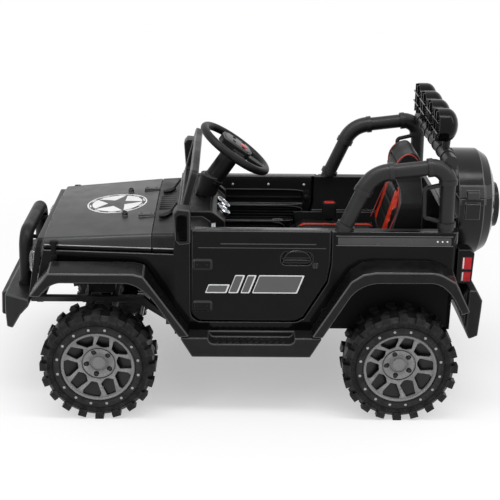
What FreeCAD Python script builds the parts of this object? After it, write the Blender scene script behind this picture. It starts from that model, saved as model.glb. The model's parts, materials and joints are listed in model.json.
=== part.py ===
import math
import os
import FreeCAD
import Part

# Children's battery ride-on off-road 4x4. Millimetres, +X forward, +Y left, +Z up,
# origin on the floor under the middle of the vehicle.

Vector = FreeCAD.Vector

# Wheels and track
WHEELBASE = 679.0
FRONT_AXLE_X = 348.5
REAR_AXLE_X = FRONT_AXLE_X - WHEELBASE
TYRE_RADIUS = 130.0
TYRE_WIDTH = 86.0
WHEEL_FACE_Y = 316.0
LUG_HEIGHT = 7.0
LUG_COUNT = 20
LUG_HALF = 9.5
LUG_FLAT = 0.36
SIDE_LUG_FOOT = 112.0
SIDEWALL_IN = 2.0
BEADLOCK_RADIUS = 100.0
RIM_RADIUS = 83.0
RIM_WALL = 6.0
RIM_LIP_IN = 3.0
DISH_EDGE_IN = 5.0
DISH_HUB_IN = 22.4
DISH_THICK = 15.0
HUB_DISC_RADIUS = 37.0
CAP_RING_RADIUS = 21.3
CAP_RADIUS = 15.0
CAP_IN = 26.0
POCKET_COUNT = 5
POCKET_DEPTH = 10.0
POCKET_TURN = 23.0
NUT_CIRCLE = 29.0
NUT_HOLE_RADIUS = 5.2
AXLE_RADIUS = 6.0
AXLE_END_IN = 31.0

# Running and seating clearances
RUN_GAP = 0.3
SEAT_GAP = 0.3
DOOR_GAP = 3.5

# Tub: the moulded body
HALF_WIDTH = 235.0
RAIL_HALF_WIDTH = 226.0
FLOOR_Z = 176.0
FLOOR_THICK = 9.0
BELT_Z = 394.0
RAIL_Z = 425.0
WALL = 26.0
PANEL = 8.0
REAR_WALL_X = -458.0
FIREWALL_X = 180.0
DASH_FRONT_X = 157.0
DASH_TOP_Z = 437.0
DASH_HALF_WIDTH = 128.0
DASH_CHEEK = 14.0
DASH_GAP = 2.0
DASH_DOOR_Y = 196.0
DIAL_X = 71.0
DIAL_Z = 409.0
DIAL_Y = 26.0
DIAL_RADIUS = 21.0
DIAL_DEPTH = 20.0
DIAL_LEAN = 39.7
NOSE_X = 475.0
NOSE_HALF_WIDTH = 212.0
FENDER_TOP_Z = 371.0
WHEELHOUSE_Y = 200.0
DECK_Z = 285.0
SEAT_RISER_X = -110.0
FOOTBOX_X = 236.0
FOOTBOX_HALF_WIDTH = 108.0
FOOTBOX_TOP_Z = 330.0

# Doors
DOOR_FRONT_X = 140.0
DOOR_REAR_X = -170.0
DOOR_BOTTOM_Z = 211.0
DOOR_SKIN = 16.0
DOOR_LIP = 8.0
DOOR_INSET = 14.0
HINGE_PIN_OUT = 3.0

# Wheel arches, seen from the side
ARCH_TOP_Z = 319.0
FLARE_TOP_Z = 342.0
FLARE_OUT = 50.0
FLARE_SLOPE = 12.0
STEP_TOP_Z = 190.0
STEP_BOTTOM_Z = 141.0
STEP_OUT = 48.0

# Hood and cowl
HOOD_REAR_X = 230.0
HOOD_LIP_Z = 380.0
HOOD_FRONT_TOP_Z = 396.0
HOOD_REAR_TOP_Z = 414.0
HOOD_THICK = 5.0
HOOD_CROWN = 7.0

# Windscreen
SCREEN_BASE_X = 158.0
SCREEN_LEAN = 15.0
SCREEN_HEIGHT = 130.0
SCREEN_HALF_WIDTH = 200.0
SCREEN_BAR = 20.0
SCREEN_THICK = 18.0

# Roll bars
BAR_RADIUS = 16.8
BAR_Y = 215.0
BAR_FRONT_FOOT_X = -197.0
BAR_KNEE_X = -256.0
BAR_KNEE_Z = 556.0
BAR_TOP_X = -425.0
BAR_TOP_Z = 577.0
BAR_REAR_FOOT_X = -428.0
ELBOW_EXTRA = 2.6
COLLAR_EXTRA = 4.2
COLLAR_WIDTH = 11.0
CROSS_RADIUS = 15.0
CROSS_X = BAR_TOP_X - 4
CROSS_Z = BAR_TOP_Z + 6
BAR_BENDS = [66, 38]
GRIP_RADIUS = 5.0

# Roof lamps
LAMP_RADIUS = 37.5
LAMP_DEPTH = 47.0
LAMP_PITCH = 90.0
LAMP_COUNT = 4
LAMP_Z = 648.5
LAMP_FACE_X = -406.0

# Nose
BUMPER_FRONT_X = 573.0
BUMPER_HALF_WIDTH = 182.0
BUMPER_TOP_Z = 252.0
BUMPER_BOTTOM_Z = 169.0
WINCH_FRONT_X = 590.0
BULL_RADIUS = 16.0
BULL_HALF_WIDTH = 115.0
BULL_TOP_Z = 374.0

# Storage drum at the tail
DRUM_RADIUS = 128.0
DRUM_Z = 428.0
DRUM_FRONT_X = -474.0
DRUM_REAR_X = -566.0
DRUM_SEAM_Z = 471.0
DRUM_WALL = 5.0
DRUM_HUB_RADIUS = 54.0
DRUM_HUB_X = -586.0
DRUM_HINGE_X = -502.0
DRUM_HINGE_Y = -125.0
DRUM_HINGE_RADIUS = 3.5

# Tail lamps and rear bumper
TAIL_INNER_Y = 188.0
TAIL_OUTER_Y = 226.0
REAR_BUMPER_HALF = 246.0
REAR_FLARE_TIP_X = REAR_AXLE_X - 154

# Frame and axles
RAIL_Y = 100.0
RAIL_WIDTH = 20.0
RAIL_DEPTH = 24.0
RAIL_TOP_Z = FLOOR_Z - SEAT_GAP
HORN_Y = 120.0
HORN_WIDTH = 16.0
HORN_Z = 209.0
HORN_DEPTH = 13.0
HORN_TIP_X = BUMPER_FRONT_X - 48.8
FRAME_REAR_X = -440.0
FRAME_FRONT_X = 206.0
CROSS_WIDTH = 24.0
KINGPIN_Y = 200.0
KINGPIN_RADIUS = 5.0
YOKE_HALF = 22.0
BEAM_RADIUS = 12.0

# Steering
WHEEL_CENTRE_X = 44.0
WHEEL_CENTRE_Z = 553.0
COLUMN_LEAN = 34.8
STEER_RADIUS = 88.0
STEER_GRIP = 9.5
SHAFT_RADIUS = 6.0
CRANK_RADIUS = 36.0
CRANK_RISE = 16.0
TIE_Z = 168.0

# Seat
SEAT_HALF_WIDTH = 118.0
SEAT_FRONT_X = -100.0

CENTRE_Y = WHEEL_FACE_Y - TYRE_WIDTH / 2
AXLE_Z = TYRE_RADIUS
NODES = {}


# Helpers
def box(x0, x1, y0, y1, z0, z1):
    return Part.makeBox(x1 - x0, y1 - y0, z1 - z0, Vector(x0, y0, z0))


def cyl(base, axis, radius, length):
    return Part.makeCylinder(radius, length, Vector(*base), Vector(*axis))


def rod(start, end, radius):
    a, b = Vector(*start), Vector(*end)
    return Part.makeCylinder(radius, (b - a).Length, a, b - a)


def fuse(shapes):
    shapes = list(shapes)
    joined = shapes[0].multiFuse(shapes[1:]) if len(shapes) > 1 else shapes[0]
    return joined.removeSplitter()


def mirrored(shape):
    return shape.mirror(Vector(0, 0, 0), Vector(0, 1, 0))


def both_sides(shape):
    return Part.makeCompound([shape, mirrored(shape)])


def rounded_wire(points, radii, place):
    """Closed wire through 2D points, each corner rounded by its radius; place maps 2D to 3D."""
    n = len(points)
    edges = []
    ends = []
    for i in range(n):
        p = Vector(points[i][0], points[i][1], 0)
        a = Vector(points[i - 1][0], points[i - 1][1], 0) - p
        b = Vector(points[(i + 1) % n][0], points[(i + 1) % n][1], 0) - p
        r = radii[i]
        if r <= 0:
            ends.append((p, p, None))
            continue
        half = a.getAngle(b) / 2
        reach = r / math.tan(half)
        a.normalize()
        b.normalize()
        middle = a + b
        middle.normalize()
        centre = p + middle * (r / math.sin(half))
        ends.append((p + a * reach, p + b * reach, centre - middle * r))
    for i in range(n):
        start, stop, mid = ends[i]
        if mid is not None:
            edges.append(Part.Arc(place(start), place(mid), place(stop)).toShape())
        following = ends[(i + 1) % n][0]
        if (following - stop).Length > 1e-6:
            edges.append(Part.LineSegment(place(stop), place(following)).toShape())
    return Part.Wire(edges)


def radii_for(points, radii):
    if isinstance(radii, (int, float)):
        return [float(radii)] * len(points)
    return radii


def prism_xz(points, y0, y1, radii=0):
    wire = rounded_wire(points, radii_for(points, radii), lambda v: Vector(v.x, y0, v.y))
    return Part.Face(wire).extrude(Vector(0, y1 - y0, 0))


def prism_xy(points, z0, z1, radii=0):
    wire = rounded_wire(points, radii_for(points, radii), lambda v: Vector(v.x, v.y, z0))
    return Part.Face(wire).extrude(Vector(0, 0, z1 - z0))


def prism_yz(points, x0, x1, radii=0):
    wire = rounded_wire(points, radii_for(points, radii), lambda v: Vector(x0, v.x, v.y))
    return Part.Face(wire).extrude(Vector(x1 - x0, 0, 0))


def loft_y(inner, outer, y0, y1, radii):
    """Solid between two outlines with the same corners, on the planes y0 and y1."""
    first = rounded_wire(inner, radii_for(inner, radii), lambda v: Vector(v.x, y0, v.y))
    second = rounded_wire(outer, radii_for(outer, radii), lambda v: Vector(v.x, y1, v.y))
    return Part.makeLoft([first, second], True, True)


def pipe(points, radius, bends):
    """Round tube along straight runs joined by tangent arcs."""
    corners = [Vector(*p) for p in points]
    edges = []
    start = corners[0]
    for i in range(1, len(corners) - 1):
        p = corners[i]
        a = (corners[i - 1] - p).normalize()
        b = (corners[i + 1] - p).normalize()
        half = a.getAngle(b) / 2
        reach = bends[i - 1] / math.tan(half)
        middle = (a + b).normalize()
        top = p + middle * (bends[i - 1] / math.sin(half) - bends[i - 1])
        edges.append(Part.LineSegment(start, p + a * reach).toShape())
        edges.append(Part.Arc(p + a * reach, top, p + b * reach).toShape())
        start = p + b * reach
    edges.append(Part.LineSegment(start, corners[-1]).toShape())
    path = Part.Wire(edges)
    ring = Part.Wire(Part.Circle(corners[0], corners[1] - corners[0], radius).toShape())
    return path.makePipeShell([ring], True, False)


def turned(points, base, axis, angle=360):
    """Solid of revolution from a closed outline of 3D points."""
    face = Part.Face(Part.makePolygon([Vector(*p) for p in points + [points[0]]]))
    return face.revolve(Vector(*base), Vector(*axis), angle)


def wheel_turned(profile):
    """Solid of revolution about Y from (radius, y) points."""
    return turned([(r, y, 0) for r, y in profile], (0, 0, 0), (0, 1, 0))


def placed(shape, x, y, z):
    copy = shape.copy()
    copy.translate(Vector(x, y, z))
    return copy


def export(name, shape):
    NODES[name] = shape


# Wheels
def make_lug():
    """One lug pointing up: a hooked tread block and the block down the outer side below it."""
    edge = TYRE_WIDTH / 2
    hook = [(-LUG_HALF, edge), (LUG_HALF, edge), (LUG_HALF, edge - 21), (1.5, edge - 33),
            (-7.5, edge - 39), (-12.5, edge - 31), (-4, edge - 23), (-LUG_HALF, edge - 16)]
    tread = prism_xy(hook, TYRE_RADIUS - LUG_HEIGHT - 3, TYRE_RADIUS - LUG_FLAT)
    side = box(-LUG_HALF + 1, LUG_HALF - 1, edge - 14, edge, SIDE_LUG_FOOT, TYRE_RADIUS - 2)
    return fuse([tread, side])


def make_tyre():
    """Left-hand tyre about its own centre, outer face towards +Y, with lugs and beadlock ring."""
    half = TYRE_WIDTH / 2
    wall = half - SIDEWALL_IN
    tread = TYRE_RADIUS - LUG_HEIGHT
    carcass = wheel_turned([
        (RIM_RADIUS + RUN_GAP, -wall + 5), (BEADLOCK_RADIUS, -wall), (tread - 9, -wall),
        (tread, -wall + 10), (tread, wall - 10), (tread - 9, wall),
        (BEADLOCK_RADIUS + 1.5, wall), (BEADLOCK_RADIUS + 1.5, wall - 3),
        (BEADLOCK_RADIUS, wall - 3), (BEADLOCK_RADIUS, half - 1), (RIM_RADIUS + 2, half - 1),
        (RIM_RADIUS + RUN_GAP, half - RIM_LIP_IN)])
    step = 360.0 / LUG_COUNT
    lugs = []
    for lug, phase in ((make_lug(), 0), (mirrored(make_lug()), 0.5)):
        for k in range(LUG_COUNT):
            copy = lug.copy()
            copy.rotate(Vector(0, 0, 0), Vector(0, 1, 0), (k + phase) * step)
            lugs.append(copy)
    return fuse([carcass] + lugs)


def dish_y(radius):
    """How far out the dished face lies at a radius."""
    inner, outer = HUB_DISC_RADIUS, RIM_RADIUS - RIM_WALL
    share = (radius - inner) / (outer - inner)
    return TYRE_WIDTH / 2 - DISH_HUB_IN + share * (DISH_HUB_IN - DISH_EDGE_IN)


def make_rim():
    """Left-hand rim about its own centre: barrel, dished face with ten pockets, hub and cap."""
    half = TYRE_WIDTH / 2
    barrel_in = RIM_RADIUS - RIM_WALL
    hub, lip, cap = HUB_DISC_RADIUS, half - RIM_LIP_IN, half - CAP_IN
    bore = AXLE_RADIUS + RUN_GAP
    bore_end = half - AXLE_END_IN + RUN_GAP
    body = wheel_turned([
        (bore, -half + 10), (bore + 8, -half + 10), (bore + 8, dish_y(hub) - DISH_THICK),
        (hub, dish_y(hub) - DISH_THICK), (barrel_in, dish_y(barrel_in) - DISH_THICK),
        (barrel_in, -half + 10), (RIM_RADIUS, -half + 10), (RIM_RADIUS, lip), (barrel_in, lip),
        (barrel_in, dish_y(barrel_in)), (hub + 1.5, dish_y(hub + 1.5)), (hub + 1.5, cap + 0.5),
        (hub - 1.5, cap + 0.5), (hub - 1.5, cap + 4), (CAP_RING_RADIUS, cap),
        (CAP_RING_RADIUS, cap - 1.5), (CAP_RADIUS, cap - 1.5), (CAP_RADIUS, cap), (0, cap),
        (0, bore_end), (bore, bore_end)])
    reach = barrel_in - 0.5
    room = wheel_turned([
        (hub + 3, dish_y(hub + 3) - POCKET_DEPTH), (reach, dish_y(reach) - POCKET_DEPTH),
        (reach, half + 5), (hub + 3, half + 5)])
    wide = [(-7, 46), (7, 46), (21, 66), (19, 78), (-19, 78), (-21, 66)]
    slim = [(-4, 41), (4, 41), (15.5, 47), (11, 75), (-11, 75), (-15.5, 47)]
    step = 360.0 / POCKET_COUNT
    cuts = []
    for k in range(POCKET_COUNT):
        for outline, turn in ((wide, 0), (slim, step / 2)):
            pocket = prism_xz(outline, 0, half + 4, 3).common(room)
            pocket.rotate(Vector(0, 0, 0), Vector(0, 1, 0), POCKET_TURN + k * step + turn)
            cuts.append(pocket)
        angle = math.radians(POCKET_TURN + k * step)
        seat = (NUT_CIRCLE * math.sin(angle), cap - 6, NUT_CIRCLE * math.cos(angle))
        cuts.append(cyl(seat, (0, 1, 0), NUT_HOLE_RADIUS, 20))
    return body.cut(Part.makeCompound(cuts))


def wheels():
    tyre, rim = make_tyre(), make_rim()
    for end, x in (("front", FRONT_AXLE_X), ("rear", REAR_AXLE_X)):
        for name, shape in (("tyre", tyre), ("rim", rim)):
            left = placed(shape, x, CENTRE_Y, AXLE_Z)
            export(f"{name}_{end}_left", left)
            export(f"{name}_{end}_right", mirrored(left))


# Outlines of the side view
def about(axle_x, points):
    """Side-view points given from the axle, as points of the vehicle."""
    return [(axle_x + x, z) for x, z in points]


FRONT_ARCH = about(FRONT_AXLE_X, [
    (-181, 150), (-181, 190), (-117, 289), (-78, ARCH_TOP_Z), (97, ARCH_TOP_Z), (127, 287),
    (192, 200), (192, 150)])
REAR_ARCH = about(REAR_AXLE_X, [
    (-174, 150), (-174, 180), (-136, 249), (-109, 298), (-79, ARCH_TOP_Z + 5),
    (72, ARCH_TOP_Z + 4), (108, 303), (175, 190), (175, 150)])


def door_outline(gap):
    """Side view of the door, or of its opening when gap is the space around the door."""
    return [(DOOR_FRONT_X + gap, RAIL_Z + 40), (DOOR_FRONT_X + gap, DOOR_BOTTOM_Z - gap),
            (-95 - gap, DOOR_BOTTOM_Z - gap), (-112 - gap, 220 - gap),
            (-163 - gap, 308 - gap), (DOOR_REAR_X - gap, 349 - gap / 2),
            (DOOR_REAR_X - gap, RAIL_Z + 40)]


DOOR_RADII = [0, 26, 20, 14, 10, 10, 0]


def side_section(inset, bottom):
    """Cross-section of the body sides: upright, drawn in from the belt line to the rail."""
    return [(-HALF_WIDTH + inset, bottom), (-HALF_WIDTH + inset, BELT_Z),
            (-RAIL_HALF_WIDTH + inset, RAIL_Z), (RAIL_HALF_WIDTH - inset, RAIL_Z),
            (HALF_WIDTH - inset, BELT_Z), (HALF_WIDTH - inset, bottom)]


# Body
def body_tub():
    shell = prism_yz(side_section(0, FLOOR_Z), REAR_WALL_X, FIREWALL_X)
    corner = 24.0
    plan = [(REAR_WALL_X, -HALF_WIDTH), (FIREWALL_X, -HALF_WIDTH),
            (FIREWALL_X, HALF_WIDTH), (REAR_WALL_X, HALF_WIDTH)]
    shell = shell.common(prism_xy(plan, 100, 500, [corner, 0, 0, corner]))
    inside = HALF_WIDTH - WALL
    inner_rail = RAIL_HALF_WIDTH - WALL
    footwell = prism_yz([(-inside, FLOOR_Z + FLOOR_THICK), (-inside, BELT_Z),
                         (-inner_rail, RAIL_Z + 1), (inner_rail, RAIL_Z + 1),
                         (inside, BELT_Z), (inside, FLOOR_Z + FLOOR_THICK)],
                        SEAT_RISER_X, FIREWALL_X - PANEL)
    narrow = WHEELHOUSE_Y - PANEL
    rear_x = REAR_WALL_X + PANEL + 4
    shelf_z = ARCH_TOP_Z + 5 + PANEL
    rear_low = box(rear_x, SEAT_RISER_X + 1, -narrow, narrow, DECK_Z, RAIL_Z + 1)
    rear_top = prism_yz([(-inside, shelf_z), (-inside, BELT_Z), (-inner_rail, RAIL_Z + 1),
                         (inner_rail, RAIL_Z + 1), (inside, BELT_Z), (inside, shelf_z)],
                        rear_x, SEAT_RISER_X + 1)
    under_seat = box(rear_x, SEAT_RISER_X - PANEL, -narrow, narrow, FLOOR_Z - 1, DECK_Z - PANEL)
    tub = shell.cut(footwell).cut(rear_low).cut(rear_top).cut(under_seat)
    arch = prism_xz(REAR_ARCH, WHEELHOUSE_Y, HALF_WIDTH + 5)
    opening = prism_xz(door_outline(DOOR_GAP), HALF_WIDTH - DOOR_SKIN - RUN_GAP,
                       HALF_WIDTH + 5, DOOR_RADII)
    doorway = prism_xz(door_outline(-DOOR_LIP), RAIL_HALF_WIDTH - WALL - 5, HALF_WIDTH, DOOR_RADII)
    for cutter in (arch, opening, doorway):
        tub = tub.cut(cutter).cut(mirrored(cutter))
    tub = tub.cut(box(-500, -156, WHEELHOUSE_Y, 300, 100, 240))
    tub = tub.cut(box(-500, -156, -300, -WHEELHOUSE_Y, 100, 240))
    tub = tub.cut(footbox_space())
    passage = on_column(Part.makeCylinder(SHAFT_RADIUS + 5, 220, Vector(0, 0, -420)))
    return fuse([tub, footbox(), fenders(), mirrored(fenders())]).cut(passage)


def footbox_space():
    return box(FIREWALL_X - PANEL - 1, FOOTBOX_X - PANEL, -FOOTBOX_HALF_WIDTH + PANEL,
               FOOTBOX_HALF_WIDTH - PANEL, FLOOR_Z + FLOOR_THICK, FOOTBOX_TOP_Z - PANEL)


def footbox():
    """Box for the feet that reaches forward under the hood, open to the cabin."""
    outer = box(FIREWALL_X - 1, FOOTBOX_X, -FOOTBOX_HALF_WIDTH, FOOTBOX_HALF_WIDTH,
                FLOOR_Z, FOOTBOX_TOP_Z)
    return outer.cut(footbox_space())


def fenders():
    """Left front fender: thin side wall over the arch with a ledge for the hood."""
    outline = [(FIREWALL_X, FLOOR_Z), (FIREWALL_X, FENDER_TOP_Z), (NOSE_X, FENDER_TOP_Z),
               (NOSE_X + 18, 287), (NOSE_X + 18, 240), (167, 176)]
    side = prism_xz(outline, 100, 300)
    outer = [(FIREWALL_X, 150), (FIREWALL_X, HALF_WIDTH), (NOSE_X + 18, NOSE_HALF_WIDTH),
             (NOSE_X + 18, 150)]
    inner = [(FIREWALL_X, 150), (FIREWALL_X, HALF_WIDTH - 10), (NOSE_X + 18, NOSE_HALF_WIDTH - 10),
             (NOSE_X + 18, 150)]
    wall = prism_xy(outer, 100, 450).cut(prism_xy(inner, 99, 451))
    fender = side.common(wall)
    ledge_outer = [(FIREWALL_X, 196), (FIREWALL_X, HALF_WIDTH - 2),
                   (NOSE_X, NOSE_HALF_WIDTH - 2), (NOSE_X, 180)]
    ledge = prism_xy(ledge_outer, FENDER_TOP_Z - 6, FENDER_TOP_Z)
    arch = prism_xz(FRONT_ARCH, 100, 300)
    return fuse([fender, ledge]).cut(arch)


def flare(outline_inner, outline_outer, y_at):
    """Arch flare: a band that stands out from the body and slopes down towards its lip."""
    base = y_at + SEAT_GAP
    high = [(x, z + (FLARE_SLOPE if z > 300 else 0)) for x, z in outline_outer]
    band = loft_y(high, outline_outer, base, y_at + FLARE_OUT, 0)
    return band.cut(prism_xz(outline_inner, base - 30, y_at + FLARE_OUT + 5, 0))


def front_flare():
    outer = about(FRONT_AXLE_X, [
        (-204, 192), (-103, 336), (-79, FLARE_TOP_Z), (107, FLARE_TOP_Z), (151, 287),
        (127, 286), (127, 200), (-181, 190)])
    inner = FRONT_ARCH
    return flare(inner, outer, HALF_WIDTH)


def rear_flare():
    outer = about(REAR_AXLE_X, [
        (175, 190), (199, 192), (117, 327), (90, FLARE_TOP_Z + 3), (62, FLARE_TOP_Z + 8),
        (-77, FLARE_TOP_Z + 8), (-118, 326), (REAR_FLARE_TIP_X - REAR_AXLE_X, 256),
        (-136, 249)])
    return flare(REAR_ARCH, outer[::-1], HALF_WIDTH)


def flares():
    export("front_flares", both_sides(front_flare()))
    export("rear_flares", both_sides(rear_flare()))


def side_steps():
    outline = [(167, STEP_TOP_Z - 1), (139, STEP_BOTTOM_Z), (-129, STEP_BOTTOM_Z),
               (-156, STEP_TOP_Z - 1)]
    block = prism_xz(outline, RAIL_HALF_WIDTH - 30, HALF_WIDTH + STEP_OUT, 4)
    block = block.cut(box(-300, 300, 0, HALF_WIDTH + SEAT_GAP, FLOOR_Z - SEAT_GAP, 300))
    notch = prism_xz([(101, 210), (101, 174), (-92, 174), (-92, 210)],
                     HALF_WIDTH + 9, HALF_WIDTH + STEP_OUT + 5, [0, 12, 12, 0])
    export("side_steps", both_sides(block.cut(notch)))


# Hood, cowl and nose
def hood_section(x, foot, top, crown):
    """Closed cross-section at station x: the foot's points up to the shoulder, a rounded
    shoulder and a crowned top, the same on both sides."""
    edge = foot[-1]
    over = (edge[0] - 16, top - 1.5)
    bend = (edge[0] - 4.5, top - 5)

    def at(point, side=1):
        return Vector(x, side * point[0], point[1])

    edges = [Part.LineSegment(at(p), at(q)).toShape() for p, q in zip(foot, foot[1:])]
    edges.append(Part.Arc(at(edge), at(bend), at(over)).toShape())
    edges.append(Part.Arc(at(over), at((0, top + crown)), at(over, -1)).toShape())
    edges.append(Part.Arc(at(over, -1), at(bend, -1), at(edge, -1)).toShape())
    back = foot[::-1]
    edges += [Part.LineSegment(at(p, -1), at(q, -1)).toShape() for p, q in zip(back, back[1:])]
    edges.append(Part.LineSegment(at(foot[0], -1), at(foot[0])).toShape())
    return Part.Wire(edges)


def plan_half(x):
    """Half-width of the hood line at station x."""
    share = (x - FIREWALL_X) / (NOSE_X + 18 - FIREWALL_X)
    return HALF_WIDTH - 7 + share * (NOSE_HALF_WIDTH - HALF_WIDTH)


def hood_shell(x0, x1, top0, top1, wall):
    """Hollow top panel with a recessed flange below its lip, open below and behind."""
    drop = FENDER_TOP_Z + SEAT_GAP
    ends = []
    for x, top in ((x0, top0), (x1, top1)):
        half = plan_half(x)
        foot = [(half - 6, drop), (half - 6, HOOD_LIP_Z), (half, HOOD_LIP_Z),
                (half - 2, top - 13)]
        ends.append(hood_section(x, foot, top, HOOD_CROWN))
    outer = Part.makeLoft(ends, True, True)
    ends = []
    for x, top in ((x0 - 20, top0), (x1 - wall, top1)):
        half = plan_half(x) - 6 - wall
        foot = [(half, drop - 20), (half, top - wall - 10)]
        ends.append(hood_section(x, foot, top - wall, HOOD_CROWN))
    return outer.cut(Part.makeLoft(ends, True, True))


def hood():
    shell = hood_shell(HOOD_REAR_X, NOSE_X, HOOD_REAR_TOP_Z, HOOD_FRONT_TOP_Z, HOOD_THICK)
    bumps = [cyl((301, y, HOOD_REAR_TOP_Z - 6), (0, 0, 1), 7, 14) for y in (-90, 90)]
    plates = [box(HOOD_REAR_X + 1, HOOD_REAR_X + 38, y - 9, y + 9, HOOD_REAR_TOP_Z - 3,
                  HOOD_REAR_TOP_Z + 9) for y in (-100, 100)]
    export("hood", fuse([shell] + bumps + plates))


def cowl():
    rear = FIREWALL_X + SEAT_GAP
    top = HOOD_REAR_TOP_Z
    shell = hood_shell(rear, HOOD_REAR_X - 2, top + 2, top, HOOD_THICK)
    slots = [box(FIREWALL_X + 4, HOOD_REAR_X - 8, y - 2, y + 2, top - 20, top + 40)
             for y in range(-28, 64, 15)]
    export("cowl", shell.cut(Part.makeCompound(slots)))


def grille_panel():
    """Nose panel leaning forward, with a barred air opening between two round lamp seats."""
    x0 = NOSE_X + SEAT_GAP
    outline = [(-NOSE_HALF_WIDTH + 6, BUMPER_TOP_Z + SEAT_GAP),
               (-NOSE_HALF_WIDTH + 6, 372),
               (-NOSE_HALF_WIDTH + 26, HOOD_FRONT_TOP_Z - 6),
               (NOSE_HALF_WIDTH - 26, HOOD_FRONT_TOP_Z - 6), (NOSE_HALF_WIDTH - 6, 372),
               (NOSE_HALF_WIDTH - 6, BUMPER_TOP_Z + SEAT_GAP)]
    slab = prism_yz(outline, x0 - 60, x0 + 70, [14, 8, 8, 8, 8, 14])
    lean = [(x0, HOOD_FRONT_TOP_Z), (x0 + 14, HOOD_FRONT_TOP_Z), (x0 + 43, 230), (x0 + 29, 230)]
    panel = slab.common(prism_xz(lean, -300, 300))
    opening = prism_yz([(-92, 262), (-92, 372), (92, 372), (92, 262)], x0 - 20, x0 + 60, 12)
    bars = [prism_yz([(-93, z), (-93, z + 10), (93, z + 10), (93, z)], x0 - 20, x0 + 60)
            for z in (275, 297, 319, 341, 360)]
    posts = [box(x0 - 20, x0 + 60, y - 5, y + 5, 260, 374) for y in (-46, 0, 46)]
    middle = prism_xz([(x0 + 3, 372), (x0 + 11, 372), (x0 + 36, 255), (x0 + 28, 255)], -93, 93)
    grid = fuse(bars + posts).common(middle)
    seats = [cyl((x0 - 20, y, 322), (1, 0, 0), 37, 100) for y in (-148, 148)]
    export("grille_panel", fuse([panel.cut(opening), grid]).cut(Part.makeCompound(seats)))
    lamps = []
    for y in (-148, 148):
        shell = turned([(x0 + 6, y, 322), (x0 + 6, y, 322 + 20), (x0 + 18, y, 322 + 36.5),
                        (x0 + 32, y, 322 + 36.5), (x0 + 38, y, 322 + 28), (x0 + 42, y, 322)],
                       (x0, y, 322), (1, 0, 0))
        lamps.append(shell)
    export("headlamps", Part.makeCompound(lamps))


def front_bumper():
    front = BUMPER_FRONT_X
    profile = [(front, BUMPER_TOP_Z), (front + 2, 212), (front, BUMPER_BOTTOM_Z),
               (front - 15, BUMPER_BOTTOM_Z), (front - 37, 208), (front - 60, 236),
               (front - 60, BUMPER_TOP_Z)]
    beam = prism_xz(profile, -240, 240)
    ends = [(front + 5, -BUMPER_HALF_WIDTH), (front + 5, BUMPER_HALF_WIDTH), (front - 63, 222),
            (front - 70, 222), (front - 70, -222), (front - 63, -222)]
    beam = beam.common(prism_xy(ends, 100, 300, [4, 4, 4, 0, 0, 4]))
    block = prism_xz([(front - 1, 246), (WINCH_FRONT_X - 3, 243), (WINCH_FRONT_X, 186),
                      (front - 1, 183)], -150, 150, [0, 6, 6, 0])
    export("front_bumper", fuse([beam, block]))


def bull_bar():
    foot_x, top_x = 534.0, 530.0
    foot_z = BUMPER_TOP_Z + SEAT_GAP
    bar = pipe([(foot_x, BULL_HALF_WIDTH, foot_z - 8), (top_x, BULL_HALF_WIDTH, BULL_TOP_Z),
                (top_x, -BULL_HALF_WIDTH, BULL_TOP_Z), (foot_x, -BULL_HALF_WIDTH, foot_z - 8)],
               BULL_RADIUS, [34, 34])
    bar = bar.cut(box(400, 600, -200, 200, 200, foot_z))
    rings = [cyl((foot_x, y, foot_z), (0, 0, 1), BULL_RADIUS + 2.5, 7)
             for y in (-BULL_HALF_WIDTH, BULL_HALF_WIDTH)]
    stays = [rod((top_x, y, BULL_TOP_Z - 22), (NOSE_X + 26, y, BULL_TOP_Z - 22), 5)
             for y in (-70, 70)]
    stays += [rod((top_x, y, BULL_TOP_Z - 22), (top_x, y, BULL_TOP_Z), 5) for y in (-70, 70)]
    export("bull_bar", fuse([bar] + rings + stays))


# Windscreen, mirrors and wipers
def leaned(shape):
    """From upright at the screen's foot to leaning back."""
    copy = shape.copy()
    copy.rotate(Vector(0, 0, 0), Vector(0, 1, 0), -SCREEN_LEAN)
    copy.translate(Vector(SCREEN_BASE_X, 0, RAIL_Z + SEAT_GAP))
    return copy


def windscreen():
    half = SCREEN_HALF_WIDTH
    height = SCREEN_HEIGHT
    bar = SCREEN_BAR
    outer = prism_yz([(-half - 8, 0), (-half, height), (half, height), (half + 8, 0)],
                     0, SCREEN_THICK, [4, 16, 16, 4])
    hole = prism_yz([(-half - 6 + bar, bar), (-half + bar, height - bar),
                     (half - bar, height - bar), (half + 6 - bar, bar)], -1, SCREEN_THICK + 1, 8)
    pane = prism_yz([(-half - 5.5 + bar, bar + 0.5), (-half + 0.5 + bar, height - bar - 0.5),
                     (half - 0.5 - bar, height - bar - 0.5), (half + 5.5 - bar, bar + 0.5)],
                    6, 9, 8)
    export("windscreen_frame", leaned(outer.cut(hole)))
    export("windscreen_pane", leaned(pane))


def mirrors():
    head = prism_xz([(140, 424), (140, 500), (168, 503), (177, 492), (173, 432), (165, 421)],
                    272, 312, 6)
    foot = prism_xy([(150, 208), (150, 224), (176, 224), (176, 208)], RAIL_Z + SEAT_GAP,
                    RAIL_Z + 9, 5)
    arm = rod((162, 216, RAIL_Z + 6), (160, 285, 438), 5.5)
    arm = arm.cut(box(100, 300, 0, 300, 300, RAIL_Z + SEAT_GAP))
    export("mirrors", both_sides(fuse([head, foot, arm])))


def cowl_top(y):
    """Height of the crowned cowl under a wiper foot whose nearest point to the middle is at y."""
    reach = plan_half(HOOD_REAR_X) - 18
    return HOOD_REAR_TOP_Z + 1.7 + HOOD_CROWN - (HOOD_CROWN + 1.5) * (y / reach) ** 2


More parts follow.
